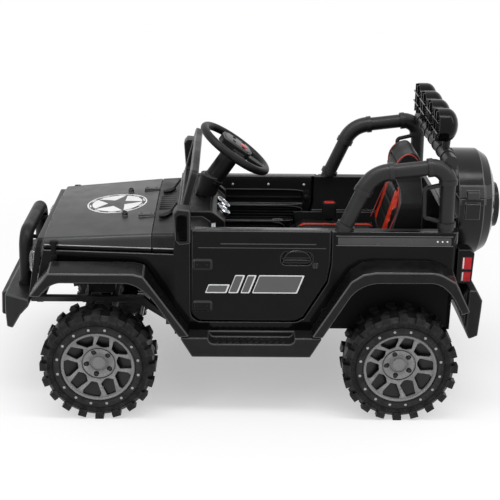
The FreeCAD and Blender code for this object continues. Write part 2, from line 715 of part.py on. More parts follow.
def wipers():
    blades = []
    for y in (-66, 118):
        z = cowl_top(min(abs(y + 14), abs(y - 24)))
        foot = prism_xy([(218, y + 14), (202, y + 8), (188, y - 20), (196, y - 24), (220, y + 2)],
                        z, z + 5, 3)
        arm = rod((195, y - 18, z + 3), (181, y - 62, z + 12), 2.6)
        blades.append(fuse([foot, arm]))
    export("wipers", Part.makeCompound(blades))


# Cabin
def column_frame():
    lean = math.radians(COLUMN_LEAN)
    axis = Vector(-math.sin(lean), 0, math.cos(lean))
    forward = Vector(math.cos(lean), 0, math.sin(lean))
    return Vector(WHEEL_CENTRE_X, 0, WHEEL_CENTRE_Z), axis, forward


def on_column(shape):
    """From a shape built about +Z at the origin, its front towards +X."""
    centre, axis, forward = column_frame()
    copy = shape.copy()
    copy.rotate(Vector(0, 0, 0), Vector(0, 1, 0), -COLUMN_LEAN)
    copy.translate(centre)
    return copy


def shaft_length():
    """Along the column from the wheel's centre to the crank, so that its tip meets the tie rod."""
    lean = math.radians(COLUMN_LEAN)
    crank_z = TIE_Z + 2 + CRANK_RADIUS * math.sin(lean)
    return (WHEEL_CENTRE_Z - crank_z) / math.cos(lean)


def crank_tip():
    centre, axis, forward = column_frame()
    return centre - axis * shaft_length() - forward * CRANK_RADIUS


def steering_wheel():
    ring = Part.makeTorus(STEER_RADIUS, STEER_GRIP)
    hub = Part.makeCone(30, 34, 22, Vector(0, 0, -22))
    pad = prism_xy([(-30, -34), (38, -34), (46, 0), (38, 34), (-30, 34), (-40, 0)], -4, 14, 10)
    spokes = [prism_xy([(-14, 0), (14, 0), (11, STEER_RADIUS - 4), (-11, STEER_RADIUS - 4)], -6, 4),
              prism_xy([(-14, 0), (14, 0), (11, STEER_RADIUS - 4), (-11, STEER_RADIUS - 4)], -6, 4)]
    spokes[0].rotate(Vector(0, 0, 0), Vector(0, 0, 1), 12)
    spokes[1].rotate(Vector(0, 0, 0), Vector(0, 0, 1), 168)
    spokes.append(prism_xy([(-STEER_RADIUS + 4, -11), (0, -16), (0, 16), (-STEER_RADIUS + 4, 11)],
                           -6, 4))
    low = -shaft_length()
    high = low + CRANK_RISE
    shaft = cyl((0, 0, high), (0, 0, 1), SHAFT_RADIUS, -5 - high)
    crank = box(-CRANK_RADIUS - 4, 6, -5, 5, high, high + 6)
    post = cyl((-CRANK_RADIUS, 0, low), (0, 0, 1), 3, CRANK_RISE + 1)
    ball = Part.makeSphere(4, Vector(-CRANK_RADIUS, 0, low))
    export("steering_wheel", on_column(fuse([ring, hub, pad] + spokes + [shaft, crank, post, ball])))


def steering_boot():
    neck = on_column(Part.makeCylinder(23, 68, Vector(0, 0, -92)))
    collar = on_column(Part.makeCylinder(25.5, 7, Vector(0, 0, -93)))
    top, foot = Vector(99, 0, 487), Vector(116, 0, DASH_TOP_Z - 8)
    lower = Part.makeCone(27, 23, (foot - top).Length, top, foot - top)
    boot = fuse([neck, collar, lower])
    boot = boot.cut(box(0, 250, -60, 60, 300, DASH_TOP_Z + SEAT_GAP))
    hole = on_column(Part.makeCylinder(SHAFT_RADIUS + RUN_GAP, 300, Vector(0, 0, -250)))
    export("steering_boot", boot.cut(hole))


def cabin_section(gap):
    """Cross-section of the cabin between the tub's walls, drawn in from them by gap."""
    low = HALF_WIDTH - WALL - gap
    high = RAIL_HALF_WIDTH - WALL - gap
    bottom = FLOOR_Z + FLOOR_THICK + gap
    return [(-low, bottom), (-low, BELT_Z), (-high, RAIL_Z + 1), (high, RAIL_Z + 1),
            (low, BELT_Z), (low, bottom)]


def dashboard():
    """Beam across the cabin with a raised middle: two cheeks and a lower face for the dials."""
    rear = FIREWALL_X - PANEL - SEAT_GAP
    beam = prism_xz([(rear, RAIL_Z - 1), (118, RAIL_Z - 1), (100, 412), (98, 386), (116, 352),
                     (142, 330), (rear, 330)], -HALF_WIDTH, HALF_WIDTH,
                    [2, 10, 10, 10, 10, 12, 2])
    beam = beam.common(prism_yz(cabin_section(DASH_GAP), 0, FIREWALL_X))
    door_room = box(60, DOOR_FRONT_X - DOOR_INSET + 5, DASH_DOOR_Y, HALF_WIDTH, 300, 440)
    beam = beam.cut(both_sides(door_room))
    raised = [(DASH_FRONT_X - 2, RAIL_Z - 10), (DASH_FRONT_X - 2, DASH_TOP_Z),
              (96, DASH_TOP_Z), (66, 413), (66, 392), (104, 346), (150, 346)]
    middle = prism_xz(raised, -DASH_HALF_WIDTH, DASH_HALF_WIDTH, [2, 10, 20, 12, 10, 16, 2])
    cheek = DASH_HALF_WIDTH - DASH_CHEEK
    recess = prism_xz([(100, DASH_TOP_Z - 9), (56, 386), (40, 386), (40, DASH_TOP_Z - 9)],
                      -cheek, cheek)
    step = box(98, 100, -cheek, cheek, DASH_TOP_Z - 9, DASH_TOP_Z + 1)
    block = fuse([beam, middle.cut(recess).cut(step)])
    inside = DASH_DOOR_Y - 8
    hollow = prism_xz([(rear - 8, 410), (122, 410), (112, 392), (126, 360), (148, 340),
                       (rear - 8, 340)], -inside, inside, 4)
    block = block.cut(hollow)
    passage = on_column(Part.makeCylinder(SHAFT_RADIUS + 5, 300, Vector(0, 0, -300)))
    face = Vector(-math.sin(math.radians(DIAL_LEAN)), 0, math.cos(math.radians(DIAL_LEAN)))
    wells, dials = [], []
    for y in (-DIAL_Y, DIAL_Y):
        middle_point = Vector(DIAL_X, y, DIAL_Z)
        wells.append(Part.makeCylinder(DIAL_RADIUS + SEAT_GAP, 60,
                                       middle_point - face * DIAL_DEPTH, face))
        barrel = Part.makeCylinder(DIAL_RADIUS, DIAL_DEPTH - 3,
                                   middle_point - face * (DIAL_DEPTH - SEAT_GAP), face)
        crown = Part.makeCylinder(DIAL_RADIUS - 1.5, 4, middle_point - face * 3, face)
        dials.append(fuse([barrel, crown]))
    export("dashboard", block.cut(passage).cut(Part.makeCompound(wells)))
    export("dash_dials", Part.makeCompound(dials))


def controls():
    lever = fuse([box(-70, -30, -150, -120, FLOOR_Z + FLOOR_THICK + 0.3, 215),
                  rod((-50, -135, 210), (-62, -135, 285), 5),
                  Part.makeSphere(13, Vector(-63, -135, 292))])
    export("gear_lever", lever)
    floor = FLOOR_Z + FLOOR_THICK + SEAT_GAP
    pedal = prism_xz([(150, floor), (158, floor), (140, floor + 52), (133, floor + 52)],
                     -78, -38, 2)
    foot = box(120, 172, -84, -32, floor, floor + 6)
    export("pedal", fuse([pedal, foot]))


def seat():
    base_z = DECK_Z + SEAT_GAP
    half = SEAT_HALF_WIDTH
    base = prism_xz([(SEAT_FRONT_X, base_z), (SEAT_FRONT_X + 6, base_z + 30),
                     (SEAT_FRONT_X - 30, base_z + 52), (-290, base_z + 44), (-384, base_z + 50),
                     (-390, base_z)], -half, half, [6, 12, 12, 0, 12, 6])
    profile = [(-298, base_z + 20), (-344, 474), (-329, 503), (-334, 537), (-352, 559),
               (-372, 564), (-388, 550), (-394, 490), (-392, base_z + 20)]
    side = prism_xz(profile, -half, half, [0, 60, 18, 24, 16, 14, 16, 30, 0])
    front = [(-half + 8, base_z), (-half, 400), (-half + 4, 450), (-76, 496), (-60, 522),
             (-58, 600), (58, 600), (60, 522), (76, 496), (half - 4, 450), (half, 400),
             (half - 8, base_z)]
    back = side.common(prism_yz(front, -420, -250, [0, 40, 26, 26, 20, 0, 0, 20, 26, 26, 40, 0]))
    pocket = prism_xy([(SEAT_FRONT_X - 16, -half + 26), (SEAT_FRONT_X - 16, half - 26),
                       (-306, half - 26), (-306, -half + 26)], base_z + 28, base_z + 60, 16)
    shell = fuse([base, back]).cut(pocket)
    line = [(-310, 350), (-344, 474), (-329, 503), (-334, 536)]
    inner = [(-half + 34, 346), (-half + 30, 424), (-72, 462), (-50, 502), (-46, 546), (46, 546),
             (50, 502), (72, 462), (half - 30, 424), (half - 34, 346)]
    bends = [10, 30, 24, 30, 12, 12, 30, 24, 30, 10]

    def strip(forward, back_by, outline):
        face = [(x + forward, z) for x, z in line] + [(x - back_by, z) for x, z in line[::-1]]
        return prism_xz(face, -half, half).common(prism_yz(outline, -420, -200, bends))

    wide = [(y + (SEAT_GAP if y > 0 else -SEAT_GAP), z + (0.4 if z > 500 else -0.4))
            for y, z in inner]
    shell = shell.cut(strip(60, 9.3, wide))
    export("seat_shell", shell)
    cushion = prism_xy([(SEAT_FRONT_X - 17, -half + 27), (SEAT_FRONT_X - 17, half - 27),
                        (-304, half - 27), (-304, -half + 27)], base_z + 28.4, base_z + 56, 16)
    export("seat_cushion", cushion.cut(shell).cut(strip(60, 9.3, wide)))
    export("seat_back_pad", strip(6, 9, inner))
    buckle = fuse([box(-210, -186, -half - 24, -half - 10, base_z, base_z + 60),
                   box(-216, -180, -half - 29, -half - 5, base_z + 52, base_z + 92)])
    export("belt_buckle", buckle)


# Roll bars and roof lamps
def hoop_path():
    foot_z = RAIL_Z + SEAT_GAP
    return [(BAR_FRONT_FOOT_X + 5, BAR_Y, foot_z - 14), (BAR_KNEE_X, BAR_Y, BAR_KNEE_Z),
            (BAR_TOP_X, BAR_Y, BAR_TOP_Z), (BAR_REAR_FOOT_X - 1, BAR_Y, foot_z - 14)]


def hoop_leg(corner, towards, reach):
    """The point that far from a corner of the hoop on the way to the next one."""
    a, b = Vector(*corner), Vector(*towards)
    return tuple(a + (b - a).normalize() * reach)


def hoop_solid(extra=0.0):
    """One side's hoop: straight tubes, and thicker elbows that end in collars."""
    path = hoop_path()
    shapes = [pipe(path, BAR_RADIUS + extra, BAR_BENDS)]
    for corner, bend, (before, after) in ((1, BAR_BENDS[0], (42, 43)), (2, BAR_BENDS[1], (42, 36))):
        ends = [hoop_leg(path[corner], path[corner - 1], before), path[corner],
                hoop_leg(path[corner], path[corner + 1], after)]
        shapes.append(pipe(ends, BAR_RADIUS + ELBOW_EXTRA + extra, [bend]))
    stations = [(1, 0, 42), (1, 2, 43), (2, 1, 42), (2, 3, 36), (3, 2, 30), (0, 1, 26)]
    for corner, towards, reach in stations:
        at = Vector(*hoop_leg(path[corner], path[towards], reach))
        along = (Vector(*path[towards]) - Vector(*path[corner])).normalize()
        shapes.append(Part.makeCylinder(BAR_RADIUS + COLLAR_EXTRA + extra, COLLAR_WIDTH,
                                        at - along * (COLLAR_WIDTH / 2), along))
    return fuse(shapes)


def roll_bars():
    foot_z = RAIL_Z + SEAT_GAP
    grip = pipe([(BAR_REAR_FOOT_X + 4, BAR_Y, 536), (-374, BAR_Y, 524), (-378, BAR_Y, 456),
                 (BAR_REAR_FOOT_X + 4, BAR_Y, 444)], GRIP_RADIUS, [9, 9])
    bar = fuse([hoop_solid(), grip]).cut(box(-500, -100, 100, 300, 300, foot_z))
    export("roll_bars", both_sides(bar))
    cross_x, cross_z = CROSS_X, CROSS_Z
    tube = rod((cross_x, -BAR_Y, cross_z), (cross_x, BAR_Y, cross_z), CROSS_RADIUS)
    rings = [cyl((cross_x, y - 4, cross_z), (0, 1, 0), CROSS_RADIUS + 2, 8)
             for y in (-168, -112, -56, 0, 56, 112, 168)]
    lamps_y = [(k - (LAMP_COUNT - 1) / 2) * LAMP_PITCH for k in range(LAMP_COUNT)]
    stems = [rod((cross_x, y, cross_z), (cross_x - 2, y, LAMP_Z - LAMP_RADIUS + 4), 9)
             for y in lamps_y]
    cross = fuse([tube] + rings + stems)
    lamp_space = Part.makeCompound([lamp_housing(y, 0.3) for y in lamps_y])
    export("roll_bar_cross", cross.cut(both_sides(hoop_solid(SEAT_GAP))).cut(lamp_space))
    export("roof_lamps", Part.makeCompound([lamp_cup(y) for y in lamps_y]))
    export("roof_lenses", Part.makeCompound([
        cyl((LAMP_FACE_X - 6, y, LAMP_Z), (1, 0, 0), LAMP_RADIUS - 4.5, 5) for y in lamps_y]))


def lamp_housing(y, extra=0.0):
    """Solid bowl of one lamp, open side towards +X, with a domed back."""
    radius = LAMP_RADIUS + extra
    face = LAMP_FACE_X
    back = face - LAMP_DEPTH - extra
    waist = face - 22
    dome = waist - back
    edge = [(face, y, LAMP_Z), (face, y, LAMP_Z + radius)]
    for k in range(7):
        turn = math.radians(15 * k)
        edge.append((waist - dome * math.sin(turn), y, LAMP_Z + radius * math.cos(turn)))
    edge[-1] = (back, y, LAMP_Z)
    return turned(edge, (face, y, LAMP_Z), (1, 0, 0))


def lamp_cup(y):
    face = LAMP_FACE_X
    pocket = cyl((face - 10, y, LAMP_Z), (1, 0, 0), LAMP_RADIUS - 4, 20)
    guard = fuse([box(face - 1, face + 5, y - LAMP_RADIUS + 1, y + LAMP_RADIUS - 1,
                      LAMP_Z + z - 1.5, LAMP_Z + z + 1.5) for z in (-12, 12)]
                 + [box(face - 1, face + 5, y + d - 1.5, y + d + 1.5, LAMP_Z - 34, LAMP_Z + 34)
                    for d in (-12, 12)])
    disc = cyl((face - 2, y, LAMP_Z), (1, 0, 0), LAMP_RADIUS, 10)
    return fuse([lamp_housing(y).cut(pocket), guard.common(disc)])


# Storage drum, bumper and lamps at the tail
def drum_profile(radius_cut):
    """Radius and x of the drum's outer form, from front to rear."""
    r = DRUM_RADIUS - radius_cut
    front = DRUM_FRONT_X - radius_cut
    rear = DRUM_REAR_X + radius_cut
    return [(front, 0), (front, r), (DRUM_REAR_X + 34, r), (DRUM_REAR_X + 12, r - 14),
            (rear, r - 42), (rear, 0)]


def drum_hinge(stretches, radius):
    """Knuckles of the lid's hinge, along X at the right end of the seam."""
    return [cyl((x0, DRUM_HINGE_Y, DRUM_SEAM_Z), (1, 0, 0), radius, x1 - x0)
            for x0, x1 in stretches]


def storage_drum():
    def solid(cut):
        return turned([(x, 0, DRUM_Z + r) for x, r in drum_profile(cut)], (0, 0, DRUM_Z),
                      (1, 0, 0))
    hub = cyl((DRUM_HUB_X, 0, DRUM_Z - 8), (1, 0, 0), DRUM_HUB_RADIUS, 40)
    outer = fuse([solid(0), hub])
    shell = outer.cut(solid(DRUM_WALL))
    below = box(-700, -300, -200, 200, 0, DRUM_SEAM_Z)
    above = box(-700, -300, -200, 200, DRUM_SEAM_Z + RUN_GAP, 700)
    band = solid(-3).common(box(DRUM_REAR_X + 30, DRUM_FRONT_X - 3, -200, 200,
                                DRUM_SEAM_Z - 13, DRUM_SEAM_Z + 27)).cut(solid(1))
    lid_knuckle = [(DRUM_HINGE_X - 9, DRUM_HINGE_X + 9)]
    drum_knuckles = [(DRUM_HINGE_X - 20, DRUM_HINGE_X - 9 - RUN_GAP),
                     (DRUM_HINGE_X + 9 + RUN_GAP, DRUM_HINGE_X + 20)]
    room = DRUM_HINGE_RADIUS + 2 * RUN_GAP
    lower = fuse([shell, band]).common(below)
    lower = lower.cut(drum_hinge([(DRUM_HINGE_X - 9.2, DRUM_HINGE_X + 9.2)], room)[0])
    upper = fuse([shell, band]).common(above)
    upper = upper.cut(Part.makeCompound(drum_hinge(
        [(DRUM_HINGE_X - 21, DRUM_HINGE_X - 9.1), (DRUM_HINGE_X + 9.1, DRUM_HINGE_X + 21)], room)))
    ring = cyl((DRUM_FRONT_X, 0, DRUM_Z), (1, 0, 0), DRUM_RADIUS - 10,
               REAR_WALL_X - SEAT_GAP - DRUM_FRONT_X)
    ring = ring.common(box(-700, -300, -200, 200, 0, RAIL_Z))
    catch = box(-522, -488, 122, 134, 424, 462)
    knuckles_low = drum_hinge(drum_knuckles, DRUM_HINGE_RADIUS)
    export("storage_drum", fuse([lower, ring, catch.cut(solid(1))] + knuckles_low))
    tongue = box(-519, -491, 104, 131, DRUM_SEAM_Z + 1, DRUM_SEAM_Z + 18).cut(solid(1))
    export("storage_lid", fuse([upper, tongue] + drum_hinge(lid_knuckle, DRUM_HINGE_RADIUS)))


def tail():
    profile = [(-488, 293), (-505, 293), (-519, 268), (-518, 238), (-515, 181), (-495, 172),
               (-474, 228), (-474, 272)]
    bar = prism_xz(profile, -REAR_BUMPER_HALF, REAR_BUMPER_HALF, 4)
    flare_room = box(REAR_FLARE_TIP_X - 2, -460, HALF_WIDTH - 1, REAR_BUMPER_HALF + 5, 100, 300)
    brackets = [box(-480, REAR_WALL_X - SEAT_GAP, y - 16, y + 16, 236, 262) for y in (-150, 150)]
    export("rear_bumper", fuse([bar.cut(both_sides(flare_room))] + brackets))
    front = REAR_WALL_X - SEAT_GAP
    body = prism_xz([(front, 303), (front, 384), (-486, 384), (-496, 376), (-494, 303)],
                    TAIL_INNER_Y, TAIL_OUTER_Y, [0, 3, 8, 4, 4])
    pockets, lenses = [], []
    for z0, z1 in ((309, 331), (338, 366)):
        pockets.append(box(-491, -470, TAIL_OUTER_Y - 30, TAIL_OUTER_Y + 1, z0, z1))
        lenses.append(box(-490.7, -470.3, TAIL_OUTER_Y - 29.7, TAIL_OUTER_Y - 0.6, z0 + 0.3,
                          z1 - 0.3))
    export("tail_lamps", both_sides(body.cut(Part.makeCompound(pockets))))
    export("tail_lenses", Part.makeCompound(lenses + [mirrored(s) for s in lenses]))


# Frame, axles and steering gear
def chassis_frame():
    """Main frame: two rails, cross members and the legs that carry the rear axle."""
    z0, z1 = RAIL_TOP_Z - RAIL_DEPTH, RAIL_TOP_Z
    half = RAIL_WIDTH / 2
    rails = [box(FRAME_REAR_X, FRAME_FRONT_X, s * RAIL_Y - half, s * RAIL_Y + half, z0, z1)
             for s in (-1, 1)]
    cross = [box(x, x + CROSS_WIDTH, -RAIL_Y, RAIL_Y, z0, z1) for x in (FRAME_REAR_X, -344, -40)]
    head_half = HORN_Y + HORN_WIDTH / 2
    head = box(FRAME_FRONT_X - CROSS_WIDTH, FRAME_FRONT_X, -head_half, head_half, z0, z1)
    legs = [box(REAR_AXLE_X - 14, REAR_AXLE_X + 14, s * RAIL_Y - 4, s * RAIL_Y + 4,
                AXLE_Z - 14, z0) for s in (-1, 1)]
    hole = cyl((REAR_AXLE_X, -200, AXLE_Z), (0, 1, 0), AXLE_RADIUS + RUN_GAP, 400)
    export("chassis_frame", fuse(rails + cross + [head] + legs).cut(hole))


def front_subframe():
    """Raised horns bolted to the main frame: they carry the front axle, battery and bumper."""
    half = HORN_WIDTH / 2
    foot_x = FRAME_FRONT_X + SEAT_GAP
    top = HORN_Z + HORN_DEPTH
    parts = []
    for s in (-1, 1):
        parts.append(box(258, HORN_TIP_X, s * HORN_Y - half, s * HORN_Y + half, HORN_Z, top))
        parts.append(prism_xz([(foot_x, RAIL_TOP_Z - 12), (276, HORN_Z), (276, top), (258, top),
                               (foot_x, RAIL_TOP_Z)], s * HORN_Y - half, s * HORN_Y + half))
        parts.append(box(FRONT_AXLE_X - 14, FRONT_AXLE_X + 14, s * HORN_Y - 4, s * HORN_Y + 4,
                         AXLE_Z - 16, HORN_Z))
    tray = [box(x, x + 16, -HORN_Y, HORN_Y, HORN_Z - 5, HORN_Z) for x in (322, 388, 496)]
    hole = cyl((FRONT_AXLE_X, -160, AXLE_Z), (0, 1, 0), BEAM_RADIUS + RUN_GAP, 320)
    export("front_subframe", fuse(parts + tray).cut(hole))


def axles():
    beam = rod((FRONT_AXLE_X, -KINGPIN_Y + 14, AXLE_Z), (FRONT_AXLE_X, KINGPIN_Y - 14, AXLE_Z),
               BEAM_RADIUS)
    yokes = []
    for s in (-1, 1):
        web = box(FRONT_AXLE_X - 12, FRONT_AXLE_X + 12, s * KINGPIN_Y - s * 18 - 3,
                  s * KINGPIN_Y - s * 18 + 3, AXLE_Z - YOKE_HALF, AXLE_Z + YOKE_HALF)
        ears = [box(FRONT_AXLE_X - 12, FRONT_AXLE_X + 12, min(s * 182, s * 210),
                    max(s * 182, s * 210), AXLE_Z + z, AXLE_Z + z + 5)
                for z in (-YOKE_HALF, YOKE_HALF - 5)]
        yokes += [web] + ears
    front = fuse([beam] + yokes)
    pins = [cyl((FRONT_AXLE_X, s * KINGPIN_Y, 80), (0, 0, 1), KINGPIN_RADIUS + RUN_GAP, 100)
            for s in (-1, 1)]
    export("front_axle", front.cut(Part.makeCompound(pins)))
    reach = WHEEL_FACE_Y - AXLE_END_IN
    export("rear_axle", rod((REAR_AXLE_X, -reach, AXLE_Z), (REAR_AXLE_X, reach, AXLE_Z),
                            AXLE_RADIUS))
    motors = []
    for s in (-1, 1):
        case = box(REAR_AXLE_X - 34, REAR_AXLE_X + 34, min(s * 150, s * 194),
                   max(s * 150, s * 194), AXLE_Z - 32, AXLE_Z + 40)
        can = cyl((REAR_AXLE_X + 18, s * 110, AXLE_Z + 18), (0, s, 0), 17, 42)
        motor = fuse([case, can])
        motors.append(motor.cut(cyl((REAR_AXLE_X, -260, AXLE_Z), (0, 1, 0),
                                    AXLE_RADIUS + RUN_GAP, 520)))
    export("drive_motors", Part.makeCompound(motors))
    export("battery", box(330, 396, -75, 75, HORN_Z + SEAT_GAP, HORN_Z + 94))


def knuckles():
    tip = crank_tip()
    pin = cyl((FRONT_AXLE_X, KINGPIN_Y, AXLE_Z - YOKE_HALF), (0, 0, 1), KINGPIN_RADIUS,
              2 * YOKE_HALF + 2)
    block = cyl((FRONT_AXLE_X, KINGPIN_Y, AXLE_Z - 15), (0, 0, 1), 11, 30)
    stub = cyl((FRONT_AXLE_X, KINGPIN_Y, AXLE_Z), (0, 1, 0), AXLE_RADIUS,
               WHEEL_FACE_Y - AXLE_END_IN - KINGPIN_Y)
    collar = cyl((FRONT_AXLE_X, KINGPIN_Y + 8, AXLE_Z), (0, 1, 0), AXLE_RADIUS + 5,
                 CENTRE_Y - TYRE_WIDTH / 2 + 9 - KINGPIN_Y - 8)
    plate_z = AXLE_Z + YOKE_HALF + RUN_GAP
    arm = prism_xy([(FRONT_AXLE_X + 12, KINGPIN_Y - 12), (FRONT_AXLE_X + 12, KINGPIN_Y + 12),
                    (tip.x - 9, KINGPIN_Y + 8), (tip.x - 9, KINGPIN_Y - 8)], plate_z, plate_z + 6,
                   6)
    post = cyl((tip.x, KINGPIN_Y, plate_z), (0, 0, 1), 4, 20)
    left = fuse([pin, block, stub, collar, arm, post])
    export("knuckle_left", left)
    export("knuckle_right", mirrored(left))
    eye_z = plate_z + 6 + RUN_GAP
    eyes = [cyl((tip.x, s * KINGPIN_Y, eye_z), (0, 0, 1), 9, 9) for s in (-1, 1)]
    tube = rod((tip.x, -KINGPIN_Y + 6, eye_z + 4.5), (tip.x, KINGPIN_Y - 6, eye_z + 4.5), 4)
    ears = [box(tip.x - 12, tip.x + 16, min(s * 6, s * 10), max(s * 6, s * 10),
                eye_z + 0.5, eye_z + 22) for s in (-1, 1)]
    bridge = box(tip.x - 12, tip.x + 16, -10, 10, eye_z, eye_z + 3)
    rod_solid = fuse([tube] + eyes + ears + [bridge])
    rod_solid = rod_solid.cut(box(tip.x - 14, tip.x + 18, -6, 6, eye_z + 3, eye_z + 30))
    holes = [cyl((tip.x, s * KINGPIN_Y, 100), (0, 0, 1), 4 + RUN_GAP, 100) for s in (-1, 1)]
    export("tie_rod", rod_solid.cut(Part.makeCompound(holes)))


# Doors
def doors():
    """Left door: outer skin that fills the opening, and an inner panel inside the door lip."""
    outline = door_outline(0)
    skin = prism_xz(outline, HALF_WIDTH - DOOR_SKIN, HALF_WIDTH, DOOR_RADII)
    inner = prism_xz(door_outline(-DOOR_INSET), HALF_WIDTH - WALL - 9, HALF_WIDTH - DOOR_SKIN + 1,
                     DOOR_RADII)
    side = prism_yz([(HALF_WIDTH - WALL - 4, 150), (HALF_WIDTH - WALL - 4, BELT_Z),
                     (RAIL_HALF_WIDTH - WALL - 4, RAIL_Z), (RAIL_HALF_WIDTH, RAIL_Z),
                     (HALF_WIDTH, BELT_Z), (HALF_WIDTH, 150)], -300, 300)
    pockets = []
    for low, high in ((240, 296), (304, 340), (348, 384)):
        shift = (low + high) / 2
        back = -84 - (shift - 240) * 0.55
        pockets.append(box(max(back, -140), DOOR_FRONT_X - 30, HALF_WIDTH - WALL - 10,
                           HALF_WIDTH - WALL + 4, low, high))
    grip = prism_xz([(-60, 348), (-60, 378), (-130, 378), (-130, 348)], HALF_WIDTH - 7,
                    HALF_WIDTH + 6, 12)
    lever = prism_xz([(-64, 352), (-64, 361), (-126, 361), (-126, 352)], HALF_WIDTH - 8,
                     HALF_WIDTH, 3)
    slab = fuse([skin, inner]).common(side).cut(Part.makeCompound(pockets + [grip]))
    hinges = [prism_xz([(DOOR_FRONT_X - 4, z), (DOOR_FRONT_X - 4, z + 22),
                        (DOOR_FRONT_X - 44, z + 22), (DOOR_FRONT_X - 44, z)],
                       HALF_WIDTH - 1, HALF_WIDTH + 3, 4) for z in (236, 337)]
    left = fuse([slab, lever] + hinges)
    export("door_left", left)
    export("door_right", mirrored(left))


def build():
    wheels()
    export("body_tub", body_tub())
    flares()
    side_steps()
    hood()
    cowl()
    grille_panel()
    front_bumper()
    bull_bar()
    windscreen()
    mirrors()
    wipers()
    steering_wheel()
    steering_boot()
    dashboard()
    controls()
    seat()
    roll_bars()
    storage_drum()
    tail()
    chassis_frame()
    front_subframe()
    axles()
    knuckles()
    doors()
    os.makedirs("parts", exist_ok=True)
    for name, shape in NODES.items():
        shape.exportStep(f"parts/{name}.step")
        bounds = shape.BoundBox
        print(f"{name:18s} solids {len(shape.Solids)} valid {shape.isValid()} "
              f"volume {shape.Volume / 1000:9.1f} cm3 "
              f"x {bounds.XMin:7.1f} {bounds.XMax:7.1f} y {bounds.YMin:7.1f} {bounds.YMax:7.1f} "
              f"z {bounds.ZMin:6.1f} {bounds.ZMax:6.1f}")
    print(len(NODES), "nodes")


build()
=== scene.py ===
import json
import math

import bmesh
import bpy
from mathutils import Matrix, Vector
from mathutils.bvhtree import BVHTree

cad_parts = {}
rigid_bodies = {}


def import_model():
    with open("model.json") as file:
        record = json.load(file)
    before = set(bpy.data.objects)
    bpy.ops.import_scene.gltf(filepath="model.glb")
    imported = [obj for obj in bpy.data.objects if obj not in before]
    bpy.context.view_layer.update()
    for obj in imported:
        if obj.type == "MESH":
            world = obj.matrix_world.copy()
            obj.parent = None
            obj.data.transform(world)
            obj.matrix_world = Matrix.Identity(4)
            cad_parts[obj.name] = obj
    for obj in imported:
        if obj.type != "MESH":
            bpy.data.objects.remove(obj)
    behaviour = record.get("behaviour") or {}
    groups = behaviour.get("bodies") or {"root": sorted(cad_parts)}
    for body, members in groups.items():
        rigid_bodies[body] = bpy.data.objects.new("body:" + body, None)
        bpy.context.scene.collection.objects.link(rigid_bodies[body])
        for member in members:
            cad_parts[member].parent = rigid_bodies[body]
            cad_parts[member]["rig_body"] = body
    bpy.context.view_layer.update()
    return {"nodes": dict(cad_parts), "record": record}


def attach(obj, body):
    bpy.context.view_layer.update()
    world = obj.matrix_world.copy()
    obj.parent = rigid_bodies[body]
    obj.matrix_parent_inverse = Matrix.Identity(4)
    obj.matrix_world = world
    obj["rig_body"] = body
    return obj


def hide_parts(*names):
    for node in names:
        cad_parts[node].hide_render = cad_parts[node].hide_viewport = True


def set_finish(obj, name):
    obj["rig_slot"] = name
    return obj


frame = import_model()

# Children's ride-on off-road 4x4. Shapes are in millimetres, made metres by MM. Places in
# shaders and seams are in metres. The left side is drawn, and flipped for the right side.
MM = 0.001
TURN = 2 * math.pi
SCENE = bpy.context.scene
WELD = 1e-6
BODY = "body"
DOOR = "door_{side}"
SIDES = (("left", 1), ("right", -1))

# Places that the CAD gives
FRONT_AXLE_X = 348.5
REAR_AXLE_X = -330.5
AXLE_Z = 130.0
WHEEL_MIDDLE_Y = 273.0
SKIN_Y = 235.0
BELT_Z = 394.0
RAIL_Y = 226.0
RAIL_Z = 425.0
DOOR_FRONT_X = 140.0
DOOR_REAR_X = -170.0
LAMP_Z = 648.5
LAMP_FACE_X = -406.0
LAMPS_Y = (-135.0, -45.0, 45.0, 135.0)
HEADLAMP_X = 489.0
HEADLAMP_Y = 148.0
HEADLAMP_Z = 322.0
DIALS_Y = (-26.0, 26.0)
DRUM_FACE_X = -585.0
DRUM_HUB_Z = 420.0


# Frames in which flat shapes are drawn: u, v and the way out of the surface
def placed(origin, u, v, out):
    turn = Matrix((Vector(u).normalized(), Vector(v).normalized(), Vector(out).normalized()))
    place = turn.transposed().to_4x4()
    place.translation = Vector(origin) * MM
    return place


def aimed(origin, direction):
    """Z of the drawn shape points along direction."""
    place = Vector(direction).to_track_quat("Z", "Y").to_matrix().to_4x4()
    place.translation = Vector(origin) * MM
    return place


def from_side(y, x=0, z=0, way=1):
    return placed((x, y, z), (1, 0, 0), (0, 0, 1), (0, way, 0))


def from_top(z, x=0, y=0):
    return placed((x, y, z), (1, 0, 0), (0, 1, 0), (0, 0, 1))


def from_front(x, way=1, y=0, z=0):
    return placed((x, y, z), (0, 1, 0), (0, 0, 1), (way, 0, 0))


def shifted(place, u, v, out):
    return place @ Matrix.Translation((u * MM, v * MM, out * MM))


SHOULDER = placed((0, SKIN_Y, BELT_Z), (1, 0, 0), (0, RAIL_Y - SKIN_Y, RAIL_Z - BELT_Z),
                  (0, RAIL_Z - BELT_Z, SKIN_Y - RAIL_Y))
COLUMN_LEAN = math.radians(34.8)
COLUMN = placed((44, 0, 553), (math.cos(COLUMN_LEAN), 0, math.sin(COLUMN_LEAN)), (0, 1, 0),
                (-math.sin(COLUMN_LEAN), 0, math.cos(COLUMN_LEAN)))
DIAL_LEAN = math.radians(39.7)
DIAL_OUT = Vector((-math.sin(DIAL_LEAN), 0, math.cos(DIAL_LEAN)))
DIAL_UP = Vector((math.cos(DIAL_LEAN), 0, math.sin(DIAL_LEAN)))
DOOR_INSIDE = from_side(205.4, way=-1)
POCKET_FLOOR = from_side(213.4, way=-1)


def set_all(target, **values):
    for key, value in values.items():
        setattr(target, key, value)
    return target


# Shapes
def shape_of(mesh):
    shape = bmesh.new()
    shape.from_mesh(mesh)
    return shape


